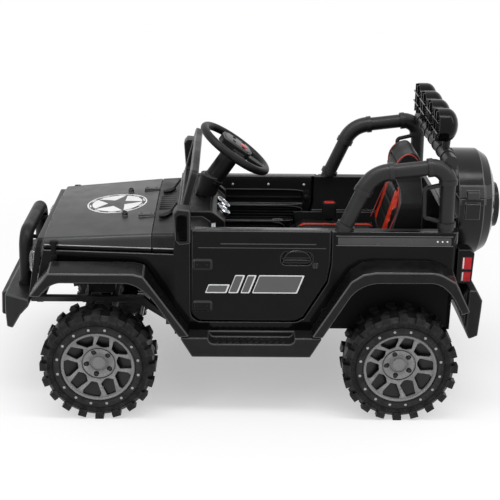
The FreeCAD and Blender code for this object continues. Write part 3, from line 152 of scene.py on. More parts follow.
def mesh_of(name, shape):
    mesh = bpy.data.meshes.new(name)
    shape.to_mesh(mesh)
    shape.free()
    return mesh


def linked(name, data):
    made = bpy.data.objects.new(name, data)
    SCENE.collection.objects.link(made)
    return made


def gather(parts):
    whole = bmesh.new()
    for part in parts:
        step = mesh_of("step", part)
        whole.from_mesh(step)
        bpy.data.meshes.remove(step)
    return whole


def set_down(part, place):
    bmesh.ops.recalc_face_normals(part, faces=part.faces)
    part.transform(place)
    return part


def rounded(part, edges, radius, steps=2, clamp=True):
    bmesh.ops.bevel(part, geom=edges, offset=radius * MM, segments=steps, profile=0.5,
                    affect="EDGES", clamp_overlap=clamp, material=-1)


def oblong(u0, v0, u1, v1):
    return [(u0, v0), (u1, v0), (u1, v1), (u0, v1)]


def sheet_of(outline):
    """Bare flat face with an outline of (u, v) points."""
    part = bmesh.new()
    part.faces.new([part.verts.new((u * MM, v * MM, 0)) for u, v in outline])
    return part


def thickened(part, thick):
    """Draws the flat faces up to a plate."""
    grown = bmesh.ops.extrude_face_region(part, geom=list(part.faces))["geom"]
    top = [g for g in grown if isinstance(g, bmesh.types.BMVert)]
    bmesh.ops.translate(part, verts=top, vec=(0, 0, thick * MM))


def slab(outline, place, thick, corner=0.0, rim=0.0, steps=3):
    """Flat plate on an outline of (u, v) points, with rounded corners and a softened top rim."""
    part = sheet_of(outline)
    thickened(part, thick)
    if corner:
        posts = [e for e in part.edges if abs(e.verts[0].co.z - e.verts[1].co.z) > thick * MM / 2]
        rounded(part, posts, corner, steps)
    if rim:
        level = (thick - 0.001) * MM
        rounded(part, [e for e in part.edges if min(v.co.z for v in e.verts) > level], rim)
    return set_down(part, place)


def turned(profile, place, steps=32):
    """Turned shape: (radius, height) points carried round the Z of place."""
    part = bmesh.new()
    points = [part.verts.new((r * MM, 0, h * MM)) for r, h in profile]
    edges = [part.edges.new(pair) for pair in zip(points, points[1:])]
    bmesh.ops.spin(part, geom=points + edges, cent=(0, 0, 0), axis=(0, 0, 1), dvec=(0, 0, 0),
                   angle=TURN, steps=steps, use_merge=True, use_duplicate=False)
    bmesh.ops.remove_doubles(part, verts=part.verts, dist=WELD)
    return set_down(part, place)


def ring(inner, outer, low, high, place, steps=48, soft=0.5):
    """Flat ring with softened outer corners."""
    return turned([(inner, low), (inner, high - soft), (inner + soft, high),
                   (outer - soft, high), (outer, high - soft), (outer, low), (inner, low)],
                  place, steps)


def screw_head(place, radius, height):
    """Domed screw head."""
    return turned([(0, height), (radius * 0.6, height * 0.92), (radius, height * 0.35),
                   (radius, -0.4), (0, -0.4)], place, 16)


def hex_nut(place, across, height):
    part = bmesh.new()
    bmesh.ops.create_cone(part, cap_ends=True, segments=6, radius1=across * MM,
                          radius2=across * MM, depth=height * MM,
                          matrix=Matrix.Translation((0, 0, height * MM / 2)))
    top = [e for e in part.edges if min(v.co.z for v in e.verts) > height * MM * 0.9]
    rounded(part, top, across * 0.2)
    part.transform(place)
    return part


def tube(points, radius):
    """Round bar along a smooth curve."""
    curve = set_all(bpy.data.curves.new("route", "CURVE"), dimensions="3D", resolution_u=8,
                    bevel_depth=radius * MM, bevel_resolution=3, use_fill_caps=True)
    spline = curve.splines.new("NURBS")
    spline.points.add(len(points) - 1)
    for spot, point in zip(spline.points, points):
        spot.co = (*(Vector(point) * MM), 1)
    set_all(spline, order_u=3, use_endpoint_u=True)
    carrier = bpy.data.objects.new("route", curve)
    mesh = bpy.data.meshes.new_from_object(carrier)
    part = shape_of(mesh)
    bpy.data.objects.remove(carrier)
    bpy.data.curves.remove(curve)
    bpy.data.meshes.remove(mesh)
    bmesh.ops.remove_doubles(part, verts=part.verts, dist=WELD)
    bmesh.ops.recalc_face_normals(part, faces=part.faces)
    return part


def flipped(part):
    """The same shape for the right side."""
    bmesh.ops.scale(part, vec=(1, -1, 1), verts=part.verts)
    bmesh.ops.reverse_faces(part, faces=part.faces)
    return part


def piece(name, parts, material, slot="black_matte", body=BODY, smooth_angle=35):
    """One finished object from shapes, with its material, its record's slot and its body."""
    mesh = mesh_of(name, gather(parts))
    mesh.materials.append(material)
    made = linked(name, mesh)
    mesh.shade_smooth()
    mesh.set_sharp_from_angle(angle=math.radians(smooth_angle))
    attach(made, body)
    if slot:
        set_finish(made, slot)
    return made


def both(name, make, material, slot="black_matte", body=BODY):
    """Left and right piece; body is one name for both, or has an open place for the side."""
    for side, way in SIDES:
        parts = make()
        if way < 0:
            parts = [flipped(part) for part in parts]
        piece(f"{name}_{side}", parts, material, slot, body.format(side=side))


def draped(parts, target, lift, thick):
    """Flat shapes laid on a panel from above, as thin plates that follow its crown."""
    whole = gather(parts)
    bmesh.ops.subdivide_edges(whole, edges=whole.edges, cuts=2, use_grid_fill=True)
    bmesh.ops.triangulate(whole, faces=whole.faces)
    panel = shape_of(frame["nodes"][target].data)
    tree = BVHTree.FromBMesh(panel)
    panel.free()
    for point in whole.verts:
        hit = tree.ray_cast(Vector((point.co.x, point.co.y, 1.0)), Vector((0, 0, -1)))[0]
        point.co.z = hit.z + lift * MM
    thickened(whole, thick)
    bmesh.ops.recalc_face_normals(whole, faces=whole.faces)
    return [whole]


# Shader nodes
def plug(node, inputs):
    """Gives each input its value, or links it where the value is a socket of another node."""
    for label, value in inputs.items():
        if isinstance(value, bpy.types.NodeSocket):
            node.id_data.links.new(value, node.inputs[label])
        else:
            node.inputs[label].default_value = value


def add(tree, kind, inputs=(), **settings):
    made = set_all(tree.nodes.new("ShaderNode" + kind), **settings)
    plug(made, dict(inputs))
    return made


def maths(tree, operation, *values):
    return add(tree, "Math", enumerate(values), operation=operation).outputs[0]


def times(tree, first, second):
    return maths(tree, "MULTIPLY", first, second)


def ramp(tree, source, low, high, to_low=0.0, to_high=1.0):
    return add(tree, "MapRange", {
        "Value": source, "From Min": low, "From Max": high, "To Min": to_low,
        "To Max": to_high}).outputs["Result"]


def falling(tree, source, low, high):
    return ramp(tree, source, low, high, 1.0, 0.0)


def between(tree, source, low, high, fade):
    """1 between low and high, fading to 0 just inside them."""
    return times(tree, ramp(tree, source, low, low + fade),
                 falling(tree, source, high - fade, high))


def place_of(tree):
    return add(tree, "TexCoord").outputs["Object"]


def parts_of(tree, vector):
    return add(tree, "SeparateXYZ", {0: vector}).outputs


def noise(tree, scale, detail=3.0):
    return add(tree, "TexNoise", {"Vector": place_of(tree), "Scale": scale,
                                  "Detail": detail}).outputs["Fac"]


def blend_colours(tree, mask, first, second):
    return add(tree, "Mix", {0: mask, 6: first, 7: second}, data_type="RGBA").outputs[2]


def rgba(colour):
    """A colour typed as three parts, or as one number for a grey."""
    return (*colour, 1) if isinstance(colour, tuple) else (colour, colour, colour, 1)


# Effects that several finishes share
def socket_kind(label):
    return "NodeSocketColor" if label == "Colour" else "NodeSocketFloat"


def group(name, inputs, *outputs):
    tree = bpy.data.node_groups.new(name, "ShaderNodeTree")
    for label, value in inputs.items():
        socket = tree.interface.new_socket(label, in_out="INPUT", socket_type=socket_kind(label))
        socket.default_value = value
    for label in outputs:
        tree.interface.new_socket(label, in_out="OUTPUT", socket_type=socket_kind(label))
    return tree, tree.nodes.new("NodeGroupInput").outputs, tree.nodes.new("NodeGroupOutput")


def tone_drift_group():
    """Slow change of tone over a moulding."""
    tree, start, end = group("tone_drift", {"Colour": rgba(0.5), "Drift": 0.1, "Scale": 8.0},
                             "Colour")
    level = ramp(tree, noise(tree, start["Scale"]), 0.3, 0.7,
                 maths(tree, "SUBTRACT", 1.0, start["Drift"]),
                 maths(tree, "ADD", 1.0, start["Drift"]))
    scaled = add(tree, "VectorMath", {0: start["Colour"], "Scale": level}, operation="SCALE")
    plug(end, {"Colour": scaled.outputs[0]})
    return tree


def broken_up(tree, mask, start, detail, low, high):
    """The mask with gaps from noise, times the group's amount."""
    cloud = ramp(tree, noise(tree, start["Scale"], detail), low, high)
    return {"Mask": times(tree, times(tree, mask, cloud), start["Amount"])}


def edge_sheen_wear_group():
    """Paler raised edges, broken by noise: rubbed by hands and shoes, and painted highlight."""
    tree, start, end = group("edge_wear_and_sheen", {"Amount": 0.5, "Scale": 45.0}, "Mask")
    point = add(tree, "NewGeometry").outputs
    edge = ramp(tree, point["Pointiness"], 0.51, 0.57)
    plug(end, broken_up(tree, edge, start, 5.0, 0.30, 0.55))
    return tree


def settled_dust_group():
    """Fine dust on what faces up."""
    tree, start, end = group("settled_dust", {"Amount": 0.1, "Scale": 14.0}, "Mask")
    point = add(tree, "NewGeometry").outputs
    up = ramp(tree, parts_of(tree, point["Normal"])["Z"], 0.25, 1.0)
    plug(end, broken_up(tree, up, start, 4.0, 0.35, 0.75))
    return tree


def fine_grain_group():
    """Pebbled surface of moulded plastic and leathercloth, with its change of sheen."""
    tree, start, end = group("fine_grain", {"Scale": 700.0, "Roughness": 0.5, "Spread": 0.1},
                             "Height", "Roughness")
    cell = add(tree, "TexVoronoi", {"Vector": place_of(tree), "Scale": start["Scale"]},
               feature="SMOOTH_F1")
    fine = noise(tree, times(tree, start["Scale"], 1.9))
    slow = ramp(tree, noise(tree, 26.0, 4.0), 0.3, 0.7, -1.0, 1.0)
    plug(end, {"Height": maths(tree, "ADD", cell.outputs["Distance"], fine),
               "Roughness": maths(tree, "ADD", start["Roughness"],
                                      times(tree, slow, start["Spread"]))})
    return tree


TONE = tone_drift_group()
WEAR_AND_SHEEN = edge_sheen_wear_group()
DUST = settled_dust_group()
GRAIN = fine_grain_group()
DUST_COLOUR = (0.30, 0.29, 0.27)


def use(tree, shared, **values):
    return add(tree, "Group", values, node_tree=shared).outputs


# Finishes
def opened(material):
    return material.node_tree, material.node_tree.nodes["Principled BSDF"]


def new_material(name):
    material = bpy.data.materials.new(name)
    material.use_nodes = True
    return material, *opened(material)


def relief(tree, shader, height, depth):
    """Bump of a depth in mm, on top of the bump that the finish has."""
    bump = add(tree, "Bump", {"Strength": 1.0, "Distance": depth * MM,
                                        "Height": height})
    for link in list(shader.inputs["Normal"].links):
        plug(bump, {"Normal": link.from_socket})
    plug(shader, {"Normal": bump.outputs["Normal"]})


def tint(tree, shader, mask, colour):
    """Another colour where the mask is 1."""
    own = shader.inputs["Base Color"].links[0].from_socket
    plug(shader, {"Base Color": blend_colours(tree, mask, own, rgba(colour))})


def moulded(name, colour, roughness, worn_and_lit, edge, dust, drift, grain, depth, spread=0.08,
            metallic=0.0, specular=0.5, coat=0.0):
    """Finish of one moulded, painted or metal surface.

    The numbers after its colour are: roughness, colour of rubbed edges and their painted
    highlight or None, amount of that edge colour, amount of dust, drift of tone, scale of the
    grain, depth of its bump in mm and, where given, spread of roughness.
    """
    material, tree, shader = new_material(name)
    tone = use(tree, TONE, Colour=rgba(colour), Drift=drift, Scale=9.0)
    wear_and_sheen = use(tree, WEAR_AND_SHEEN, Amount=edge)
    dusty = use(tree, DUST, Amount=dust)
    grained = use(tree, GRAIN, Scale=grain, Roughness=roughness, Spread=spread)
    # Paler edges: partly rubbed plastic, partly painted highlight.
    base = blend_colours(tree, wear_and_sheen["Mask"], tone["Colour"],
                         rgba(worn_and_lit or colour))
    base = blend_colours(tree, dusty["Mask"], base, rgba(DUST_COLOUR))
    plug(shader, {"Base Color": base, "Roughness": grained["Roughness"],
                  "Metallic": metallic, "Specular IOR Level": specular, "Coat Weight": coat,
                  "Coat Roughness": 0.08})
    relief(tree, shader, grained["Height"], depth)
    return material


BODY_SPECULAR = 0.14
ARCH_SPECULAR = 0.03
GLOSSY = (0.12, 0.03, 0.06, 0.010, 0.2, 240.0, 0.006, 0.04, 0.0, BODY_SPECULAR)
CABIN_SKIN_Y = (0.2150, 0.2165)
CABIN_ENDS_X = (-0.450, 0.174)
ARCH_REACH_X = (0.150, 0.175)
ARCH_TOP_Z = (0.290, 0.345)
DRUM_BAND_AND_SHEEN_Z = (0.472, 0.498)


def body_gloss(name):
    """Glossy body moulding, dull on its cabin side and unpolished in the wheel arches."""
    material = moulded(name, (0.0020, 0.0020, 0.0023), *GLOSSY)
    tree, shader = opened(material)
    x, y, z = parts_of(tree, place_of(tree))
    cabin = times(tree, falling(tree, maths(tree, "ABSOLUTE", y), *CABIN_SKIN_Y),
                  between(tree, x, *CABIN_ENDS_X, 0.002))
    tint(tree, shader, cabin, (0.016, 0.016, 0.017))
    own = shader.inputs["Roughness"].links[0].from_socket
    from_axles = [maths(tree, "ABSOLUTE", maths(tree, "SUBTRACT", x, axle_x * MM))
                  for axle_x in (FRONT_AXLE_X, REAR_AXLE_X)]
    arch = times(tree, falling(tree, maths(tree, "MINIMUM", *from_axles), *ARCH_REACH_X),
                 falling(tree, z, *ARCH_TOP_Z))
    plug(shader, {"Roughness": maths(tree, "ADD", own, times(tree, cabin, 0.26)),
                  "Specular IOR Level": ramp(tree, arch, 0.0, 1.0, BODY_SPECULAR,
                                             ARCH_SPECULAR)})
    return material


def wheel_place(tree, axle_x):
    """Distance from the wheel's axle, and how far out of the wheel's middle a point lies."""
    centre = add(tree, "Mapping", {
        "Vector": place_of(tree), "Location": (-axle_x * MM, 0, -AXLE_Z * MM)})
    x, y, z = parts_of(tree, centre.outputs[0])
    squares = maths(tree, "ADD", times(tree, x, x), times(tree, z, z))
    away = maths(tree, "ABSOLUTE", y)
    return (maths(tree, "SQRT", squares),
            maths(tree, "SUBTRACT", away, WHEEL_MIDDLE_Y * MM))


HUB_RADIUS = 0.0375
SPOKE_SLOPE = 17.4 / 40


def rim_paint(name, axle_x):
    """Silver on the spoke faces; black painted shade in the pockets, the nut holes and the barrel.
    """
    material = moulded(name, (0.165, 0.165, 0.168), 0.40, 0.34, 0.6, 0.02, 0.14, 900.0, 0.02,
                       metallic=0.3)
    tree, shader = opened(material)
    radius, out = wheel_place(tree, axle_x)
    slope = times(tree, maths(tree, "SUBTRACT", radius, 37 * MM), SPOKE_SLOPE)
    dish = maths(tree, "ADD", slope, 20.6 * MM)
    # Painted shade: black below the spoke faces, in the pockets and barrel, and in the recess round
    # the hub.
    below = falling(tree, maths(tree, "SUBTRACT", out, dish), -4.0 * MM, -2.6 * MM)
    pocket_shade = times(tree, below, ramp(tree, radius, HUB_RADIUS, 0.0390))
    hole_shade = times(tree, falling(tree, out, 15.2 * MM, 15.8 * MM),
                 ramp(tree, radius, 0.0215, 0.0225))
    hole_shade = times(tree, hole_shade, falling(tree, radius, HUB_RADIUS, 0.0390))
    tint(tree, shader, maths(tree, "MAXIMUM", pocket_shade, hole_shade), 0.007)
    return material


WALL_RINGS = (0.1018, 0.1115)
RING_STEP = 3.4


def tyre_rubber(name, axle_x):
    """Rubber-like plastic of a tyre, with fine rings moulded round its side wall."""
    material = moulded(name, (0.0042, 0.0042, 0.0044), 0.42, 0.04, 0.5, 0.01, 0.25, 420.0, 0.15,
                       specular=0.20)
    tree, shader = opened(material)
    radius = wheel_place(tree, axle_x)[0]
    wave = maths(tree, "SINE", times(tree, radius, TURN / (RING_STEP * MM)))
    relief(tree, shader, times(tree, wave, between(tree, radius, *WALL_RINGS, 0.001)), 0.5)
    return material


def drum_paint(name):
    """Glossy drum with a paler satin band at its seam: its own grey and painted highlight."""
    material = moulded(name, (0.0035, 0.0035, 0.0038), 0.17, 0.07, 0.06, 0.02, 0.12, 850.0, 0.012,
                       specular=0.28)
    tree, shader = opened(material)
    z = parts_of(tree, place_of(tree))["Z"]
    # Paler band at the seam: partly the band's own grey, partly painted highlight.
    tint(tree, shader, between(tree, z, *DRUM_BAND_AND_SHEEN_Z, 0.001), (0.040, 0.040, 0.041))
    return material


def clear_plastic(name, colour, roughness):
    """See-through plastic with faint wiping marks."""
    material, tree, shader = new_material(name)
    marks = ramp(tree, noise(tree, 38.0, 4.0), 0.45, 0.8, roughness, roughness + 0.12)
    plug(shader, {"Base Color": rgba(colour), "Transmission Weight": 1.0, "IOR": 1.45,
                  "Roughness": marks})
    return material


def lamp_red(name):
    """Red lens with moulded ribs."""
    material = moulded(name, (0.50, 0.004, 0.010), 0.16, (0.6, 0.05, 0.05), 0.1, 0.01, 0.35,
                       300.0, 0.1, specular=0.25)
    tree, shader = opened(material)
    wave = add(tree, "TexWave", {"Vector": place_of(tree), "Scale": 90.0}, bands_direction="Z")
    relief(tree, shader, wave.outputs["Fac"], 0.4)
    return material


GLOSS = moulded("gloss_black", (0.0022, 0.0022, 0.0025), *GLOSSY)
BODY_GLOSS = body_gloss("body_gloss")
HOOD_SATIN = moulded("hood_satin", (0.0115, 0.0115, 0.0124), 0.34, 0.06, 0.06, 0.03, 0.12, 900,
                     0.02, 0.05, specular=0.45)
FLARE_BLACK = moulded("flare_black", (0.004, 0.004, 0.0044), 0.23, 0.09, 0.06, 0.015, 0.15,
                      600, 0.02, specular=0.19)
MATTE = moulded("matte_black", (0.0062, 0.0062, 0.0066), 0.42, 0.08, 0.06, 0.015, 0.15, 800,
                0.05, specular=0.19)
BAR_BLACK = moulded("bar_black", (0.0115, 0.0115, 0.012), 0.4, 0.07, 0.06, 0.04, 0.12, 850,
                    0.04, specular=0.32)
DRUM_BLACK = drum_paint("drum_black")
# Paler copies of the finishes for the faces of rounded edges: painted highlight along the edges.
GLOSS_HIGHLIGHT_AND_LOCK = moulded("gloss_highlight_and_lock", (0.012, 0.012, 0.013), 0.16, None, 0, 0.01, 0.3, 240, 0.006)
FLARE_EDGE_HIGHLIGHT = moulded("flare_edge_highlight", (0.05, 0.05, 0.052), 0.24, None, 0, 0.02, 0.35, 600, 0.02)
MATTE_EDGE_HIGHLIGHT = moulded("matte_edge_highlight", (0.028, 0.028, 0.029), 0.38, None, 0, 0.02, 0.3, 800, 0.04)
HOOD_EDGE_HIGHLIGHT = moulded("hood_edge_highlight", (0.03, 0.03, 0.031), 0.32, None, 0, 0.02, 0.3, 900, 0.02)
RIM_FRONT = rim_paint("wheel_silver_front", FRONT_AXLE_X)
RIM_REAR = rim_paint("wheel_silver_rear", REAR_AXLE_X)
LIP_SILVER = moulded("lip_silver", 0.2, 0.36, 0.4, 0.4, 0.02, 0.12, 900, 0.02, metallic=0.3)
HUB_SILVER = moulded("hub_silver", 0.2, 0.38, 0.35, 0.4, 0.02, 0.1, 900, 0.02, metallic=0.4)
NUT_BLACK_AND_SHADE = moulded("nut_black_and_shade", 0.005, 0.22, 0.2, 0.5, 0.01, 0.15, 700, 0.03, specular=0.4)
POCKET_BLACK = moulded("pocket_black", 0.01, 0.5, None, 0.06, 0.06, 0.15, 700, 0.05, specular=0.25)
STEEL_BLACK = moulded("steel_black", (0.022, 0.022, 0.023), 0.42, (0.2, 0.19, 0.18), 0.06, 0.12,
                      0.2, 500, 0.06, metallic=0.1)
STEEL_BARE = moulded("steel_bare", (0.42, 0.42, 0.41), 0.34, 0.6, 0.5, 0.12, 0.2, 600, 0.03,
                     metallic=0.9)
SEAT_PLASTIC = moulded("seat_plastic", (0.0052, 0.0052, 0.0056), 0.42, 0.06, 0.06, 0.01, 0.15,
                       520, 0.08, specular=0.13)
LEATHER_BLACK = moulded("leather_black", (0.0065, 0.0065, 0.007), 0.42, 0.05, 0.06, 0.01, 0.22,
                        460, 0.16, specular=0.12)
LEATHER_RED = moulded("leather_red", (0.42, 0.022, 0.006), 0.38, (0.6, 0.1, 0.04), 0.06, 0.01,
                      0.3, 460, 0.16, specular=0.25)
THREAD_RED = moulded("thread_red", (0.33, 0.035, 0.03), 0.7, None, 0.1, 0.06, 0.4, 1500, 0.2)
CHROME = moulded("chrome", (0.72, 0.72, 0.74), 0.12, 0.9, 0.3, 0.01, 0.06, 500, 0.01, 0.04,
                 metallic=1)
RIVET_SILVER = moulded("rivet_silver", (0.33, 0.33, 0.34), 0.35, 0.6, 0.5, 0.02, 0.15, 900,
                       0.02, metallic=0.4)
DIAL_WHITE = moulded("dial_white", (0.5, 0.58, 0.68), 0.3, None, 0.1, 0, 0.3, 700, 0.02, coat=0.5)
DECAL_WHITE = moulded("decal_white", 0.74, 0.4, 0.5, 0.2, 0.01, 0.05, 800, 0.01)
# Grey of the door stripe's field, also painted highlight on the rear quarter's crease beads.
DECAL_GREY_AND_HIGHLIGHT = moulded("decal_grey_and_highlight", (0.085, 0.085, 0.088), 0.4, 0.14, 0.2, 0.01, 0.08, 800, 0.01)
BUTTON_RED = moulded("button_red", (0.45, 0.012, 0.012), 0.3, (0.6, 0.1, 0.1), 0.3, 0.01, 0.12,
                     800, 0.02)
PAD_GREY = moulded("pad_grey", (0.05, 0.05, 0.052), 0.42, 0.1, 0.4, 0.03, 0.12, 600, 0.06)
VENT_PALE = moulded("vent_pale", (0.42, 0.44, 0.46), 0.3, 0.6, 0.3, 0.02, 0.25, 800, 0.02, coat=0.4)
RUBBER = moulded("rubber_black", 0.004, 0.6, 0.02, 0.2, 0.01, 0.2, 600, 0.06, specular=0.15)
# Black of the hood seal and the dial marks; in the cowl slots and the keyhole it is painted shade.
BLACK_AND_PAINTED_SHADE = moulded("black_and_painted_shade", 0.002, 0.6, None, 0, 0, 0.15, 700, 0.05, specular=0.1)
# Pale grey: the rear quarter stripe's own colour, and painted highlight on fender edge, door crease
# and door rail.
HIGHLIGHT_AND_STRIPE_GREY = moulded("highlight_and_stripe_grey", (0.036, 0.036, 0.038), 0.25, 0.12, 0.4, 0.02, 0.15, 700, 0.02)
# Paler glossy bead colour: painted highlight along the hood's lip.
PAINTED_HIGHLIGHT_BEAD = moulded("painted_highlight_bead", (0.16, 0.16, 0.165), 0.2, 0.3, 0.4, 0.02, 0.3, 700, 0.02,
                      coat=0.3)
REFLECTOR = moulded("reflector_silver", (0.62, 0.63, 0.65), 0.16, None, 0, 0, 0.1, 160,
                    0.25, 0.05, metallic=1)
CLEAR_PANE = clear_plastic("clear_pane", (0.93, 0.95, 0.95), 0.02)
LENS_CLEAR = clear_plastic("lens_clear", (0.96, 0.97, 0.98), 0.06)
LENS_RED = lamp_red("lens_red")
TYRE_FRONT = tyre_rubber("tyre_rubber_front", FRONT_AXLE_X)
TYRE_REAR = tyre_rubber("tyre_rubber_rear", REAR_AXLE_X)

# Finish, radius of the moulded edges in mm, and nodes; radius 0 keeps the CAD surface
FINISHES = [
    (BODY_GLOSS, 1.6, "body_tub"), (BODY_GLOSS, 2.2, "door_left door_right"),
    (HOOD_SATIN, 2, "hood"), (MATTE, 0.8, "cowl"), (GLOSS, 1.5, "grille_panel"),
    (FLARE_BLACK, 3, "front_flares rear_flares"), (MATTE, 3, "side_steps"),
    (MATTE, 3.5, "front_bumper"), (MATTE, 3, "rear_bumper"), (MATTE, 0, "bull_bar"),
    (MATTE, 3, "windscreen_frame"), (CLEAR_PANE, 0, "windscreen_pane"),
    (MATTE, 3, "mirrors"), (RUBBER, 0.8, "wipers"), (MATTE, 2, "dashboard"),
    (CHROME, 0, "dash_dials"), (MATTE, 1.2, "steering_wheel"),
    (MATTE, 1.5, "steering_boot gear_lever pedal"), (SEAT_PLASTIC, 2.5, "seat_shell"),
    (BAR_BLACK, 0, "roll_bars roll_bar_cross"), (GLOSS, 0.6, "roof_lamps"),
    (REFLECTOR, 0, "roof_lenses"), (DRUM_BLACK, 1.5, "storage_drum storage_lid"),
    (GLOSS, 1.2, "tail_lamps"), (LENS_RED, 0, "tail_lenses"), (LENS_CLEAR, 0, "headlamps"),
    (STEEL_BLACK, 1.2, "chassis_frame front_subframe"), (STEEL_BLACK, 0, "front_axle"),
    (STEEL_BARE, 0, "rear_axle"), (STEEL_BLACK, 0, "knuckle_left knuckle_right"),
    (STEEL_BARE, 0, "tie_rod"), (POCKET_BLACK, 1.5, "drive_motors"),
    (POCKET_BLACK, 3, "battery"), (TYRE_FRONT, 0, "tyre_front_left tyre_front_right"),
    (TYRE_REAR, 0, "tyre_rear_left tyre_rear_right"),
    (RIM_FRONT, 0, "rim_front_left rim_front_right"),
    (RIM_REAR, 0, "rim_rear_left rim_rear_right"),
]
# Each finish with its paler copy, a painted highlight on the rounded edges.
EDGES = {"body_gloss": GLOSS_HIGHLIGHT_AND_LOCK, "gloss_black": GLOSS_HIGHLIGHT_AND_LOCK, "flare_black": FLARE_EDGE_HIGHLIGHT,
         "matte_black": MATTE_EDGE_HIGHLIGHT, "hood_satin": HOOD_EDGE_HIGHLIGHT, "drum_black": FLARE_EDGE_HIGHLIGHT,
         "seat_plastic": MATTE_EDGE_HIGHLIGHT}
SHARP = math.radians(32)
FLAT = math.radians(0.6)
DOOR_PANEL_Y = 207.0
FOLD_RADIUS = 17.0
FOLD_ROOM = 36.0
FOLD_LOW = math.radians(10)
FOLD_HIGH = math.radians(75)


def node_slot(node):
    for entry in frame["record"]["materials"]:
        if node in entry.get("nodes", []):
            return entry["slot"]
    return None


def lies_across(edge):
    along = edge.verts[1].co - edge.verts[0].co
    return abs(along.y) > 0.85 * along.length


def fold_edges(shape):
    """Edges across the vehicle where a flare's strip turns, with room to round them."""
    folds = []
    for edge in shape.edges:
        if len(edge.link_faces) == 2 and lies_across(edge):
            beside = [other.calc_length() for vert in edge.verts for other in vert.link_edges
                      if not lies_across(other)]
            if FOLD_LOW < edge.calc_face_angle() < FOLD_HIGH and min(beside) > FOLD_ROOM * MM:
                folds.append(edge)
    return folds


def moulding(node, finish, radius, edge_highlight):
    """The node's own surface with the small rounded edges of a moulding, painted paler as
    highlight.
    """
    source = frame["nodes"][node]
    shape = shape_of(source.data)
    bmesh.ops.remove_doubles(shape, verts=shape.verts, dist=1e-5)
    bmesh.ops.dissolve_limit(shape, angle_limit=FLAT, verts=shape.verts, edges=shape.edges,
                             use_dissolve_boundaries=False)
    if node.startswith("door_"):
        bmesh.ops.connect_verts_concave(shape, faces=[
            face for face in shape.faces if abs(face.calc_center_median().y) < DOOR_PANEL_Y * MM])
    if node.endswith("_flares"):
        rounded(shape, fold_edges(shape), FOLD_RADIUS, 5, False)
    mesh = mesh_of(f"{node}_moulding", shape)
    mesh.materials.append(finish)
    mesh.materials.append(edge_highlight)
    made = linked(f"{node}_moulding", mesh)
    mesh.shade_smooth()
    # The bevel's faces take the second slot, the paler finish of painted highlight.
    set_all(made.modifiers.new("edges", "BEVEL"), width=radius * MM, segments=2,
            limit_method="ANGLE", angle_limit=SHARP, use_clamp_overlap=False, material=1)
    set_all(made.modifiers.new("normals", "WEIGHTED_NORMAL"), keep_sharp=True)
    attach(made, source["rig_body"])
    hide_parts(node)
    slot = source.get("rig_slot") or node_slot(node)
    if slot:
        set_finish(made, slot)


for finish, radius, nodes in FINISHES:
    for node in nodes.split():
        if radius:
            moulding(node, finish, radius, EDGES.get(finish.name, finish))
        else:
            for slot in frame["nodes"][node].material_slots:
                slot.material = finish


# Wheels: rivets, rim lip, bead rings, hub cover, nuts in black rings of painted shade, and valve
RIVETS = 16
NUTS_DEG = [23 + 72 * k for k in range(5)]
NUT_RADIUS = 29


def on_wheel(axle_x, turn_deg, radius, y):
    """Frame on the wheel's outer face, turn counted from the top towards the front."""
    turn = math.radians(turn_deg)
    out = (math.sin(turn), 0, math.cos(turn))
    along = (math.cos(turn), 0, -math.sin(turn))
    spot = (axle_x + radius * out[0], WHEEL_MIDDLE_Y + y, AXLE_Z + radius * out[2])
    return placed(spot, along, out, (0, 1, 0))


def dress_wheels(end, axle_x, tyre):
    wheel = "wheel_" + end + "_{side}"
    face = from_side(WHEEL_MIDDLE_Y, axle_x, AXLE_Z)
    both(f"rivets_{end}", lambda: [
        turned([(0, 1.0), (2.1, 0.8), (3.2, 0.1), (3.2, -0.5), (0, -0.5)],
               on_wheel(axle_x, k * 360 / RIVETS + 11, 92, 42), 12) for k in range(RIVETS)],
        RIVET_SILVER, "grey_silver", wheel)
    both(f"rim_lip_{end}", lambda: [ring(78, 82.6, 39, 41.4, face, 72, 1.0)],
         LIP_SILVER, "grey_silver", wheel)
    both(f"tyre_bead_{end}", lambda: [ring(83.6, 86, 41, 42.8, face, 72, 0.8),
                                      ring(98, 100.5, 41, 42.7, face, 72, 0.8)],
         tyre, "tyre", wheel)
    both(f"hub_cover_{end}", lambda: [
        turned([(0, 17.9), (13.5, 17.7), (14.5, 16.2), (14.5, 15.2), (0, 15.2)], face, 40)],
        HUB_SILVER, "grey_silver", wheel)
    # Black rings round the nuts are painted shade in the nut recesses.
    both(f"hub_nuts_{end}", lambda: [
        hex_nut(on_wheel(axle_x, turn, NUT_RADIUS, 11), 4.5, 8.6) for turn in NUTS_DEG] + [
        ring(4.7, 7.6, 15.6, 18.8, on_wheel(axle_x, turn, NUT_RADIUS, 0), 20, 0.8)
        for turn in NUTS_DEG], NUT_BLACK_AND_SHADE, "grey_silver", wheel)
    both(f"hub_rings_{end}", lambda: [ring(20.2, 22.0, 16, 18.0, face, 48, 0.6)],
         HUB_SILVER, "grey_silver", wheel)
    both(f"valve_{end}", lambda: [
        turned([(0, 33), (1.8, 32.6), (2.0, 28), (3.1, 27.6), (3.1, 21), (0, 21)],
               on_wheel(axle_x, 187, 60, 0), 14)], RIVET_SILVER, "grey_silver", wheel)


dress_wheels("front", FRONT_AXLE_X, TYRE_FRONT)
dress_wheels("rear", REAR_AXLE_X, TYRE_REAR)

# Hood: star in a ring, hinge screws, bumps, rubber latches and the seal to the cowl
STAR_X = 327.0
STAR_REACH = 60.0
STAR_WAIST = 22.5
STAR_TURN = 36.0
ARM_STEP = 72
ARM_GAP = 1.6


def round_star(radius, turn_deg):
    turn = math.radians(turn_deg)
    return STAR_X + radius * math.cos(turn), radius * math.sin(turn)


def star_gap(k):
    """White field between two arms of the star."""
    start = STAR_TURN + ARM_STEP * k
    outline = [round_star(STAR_REACH, start + ARM_GAP + (ARM_STEP - 2 * ARM_GAP) * step / 8)
               for step in range(9)]
    return sheet_of(outline + [round_star(STAR_WAIST, start + ARM_STEP / 2)])


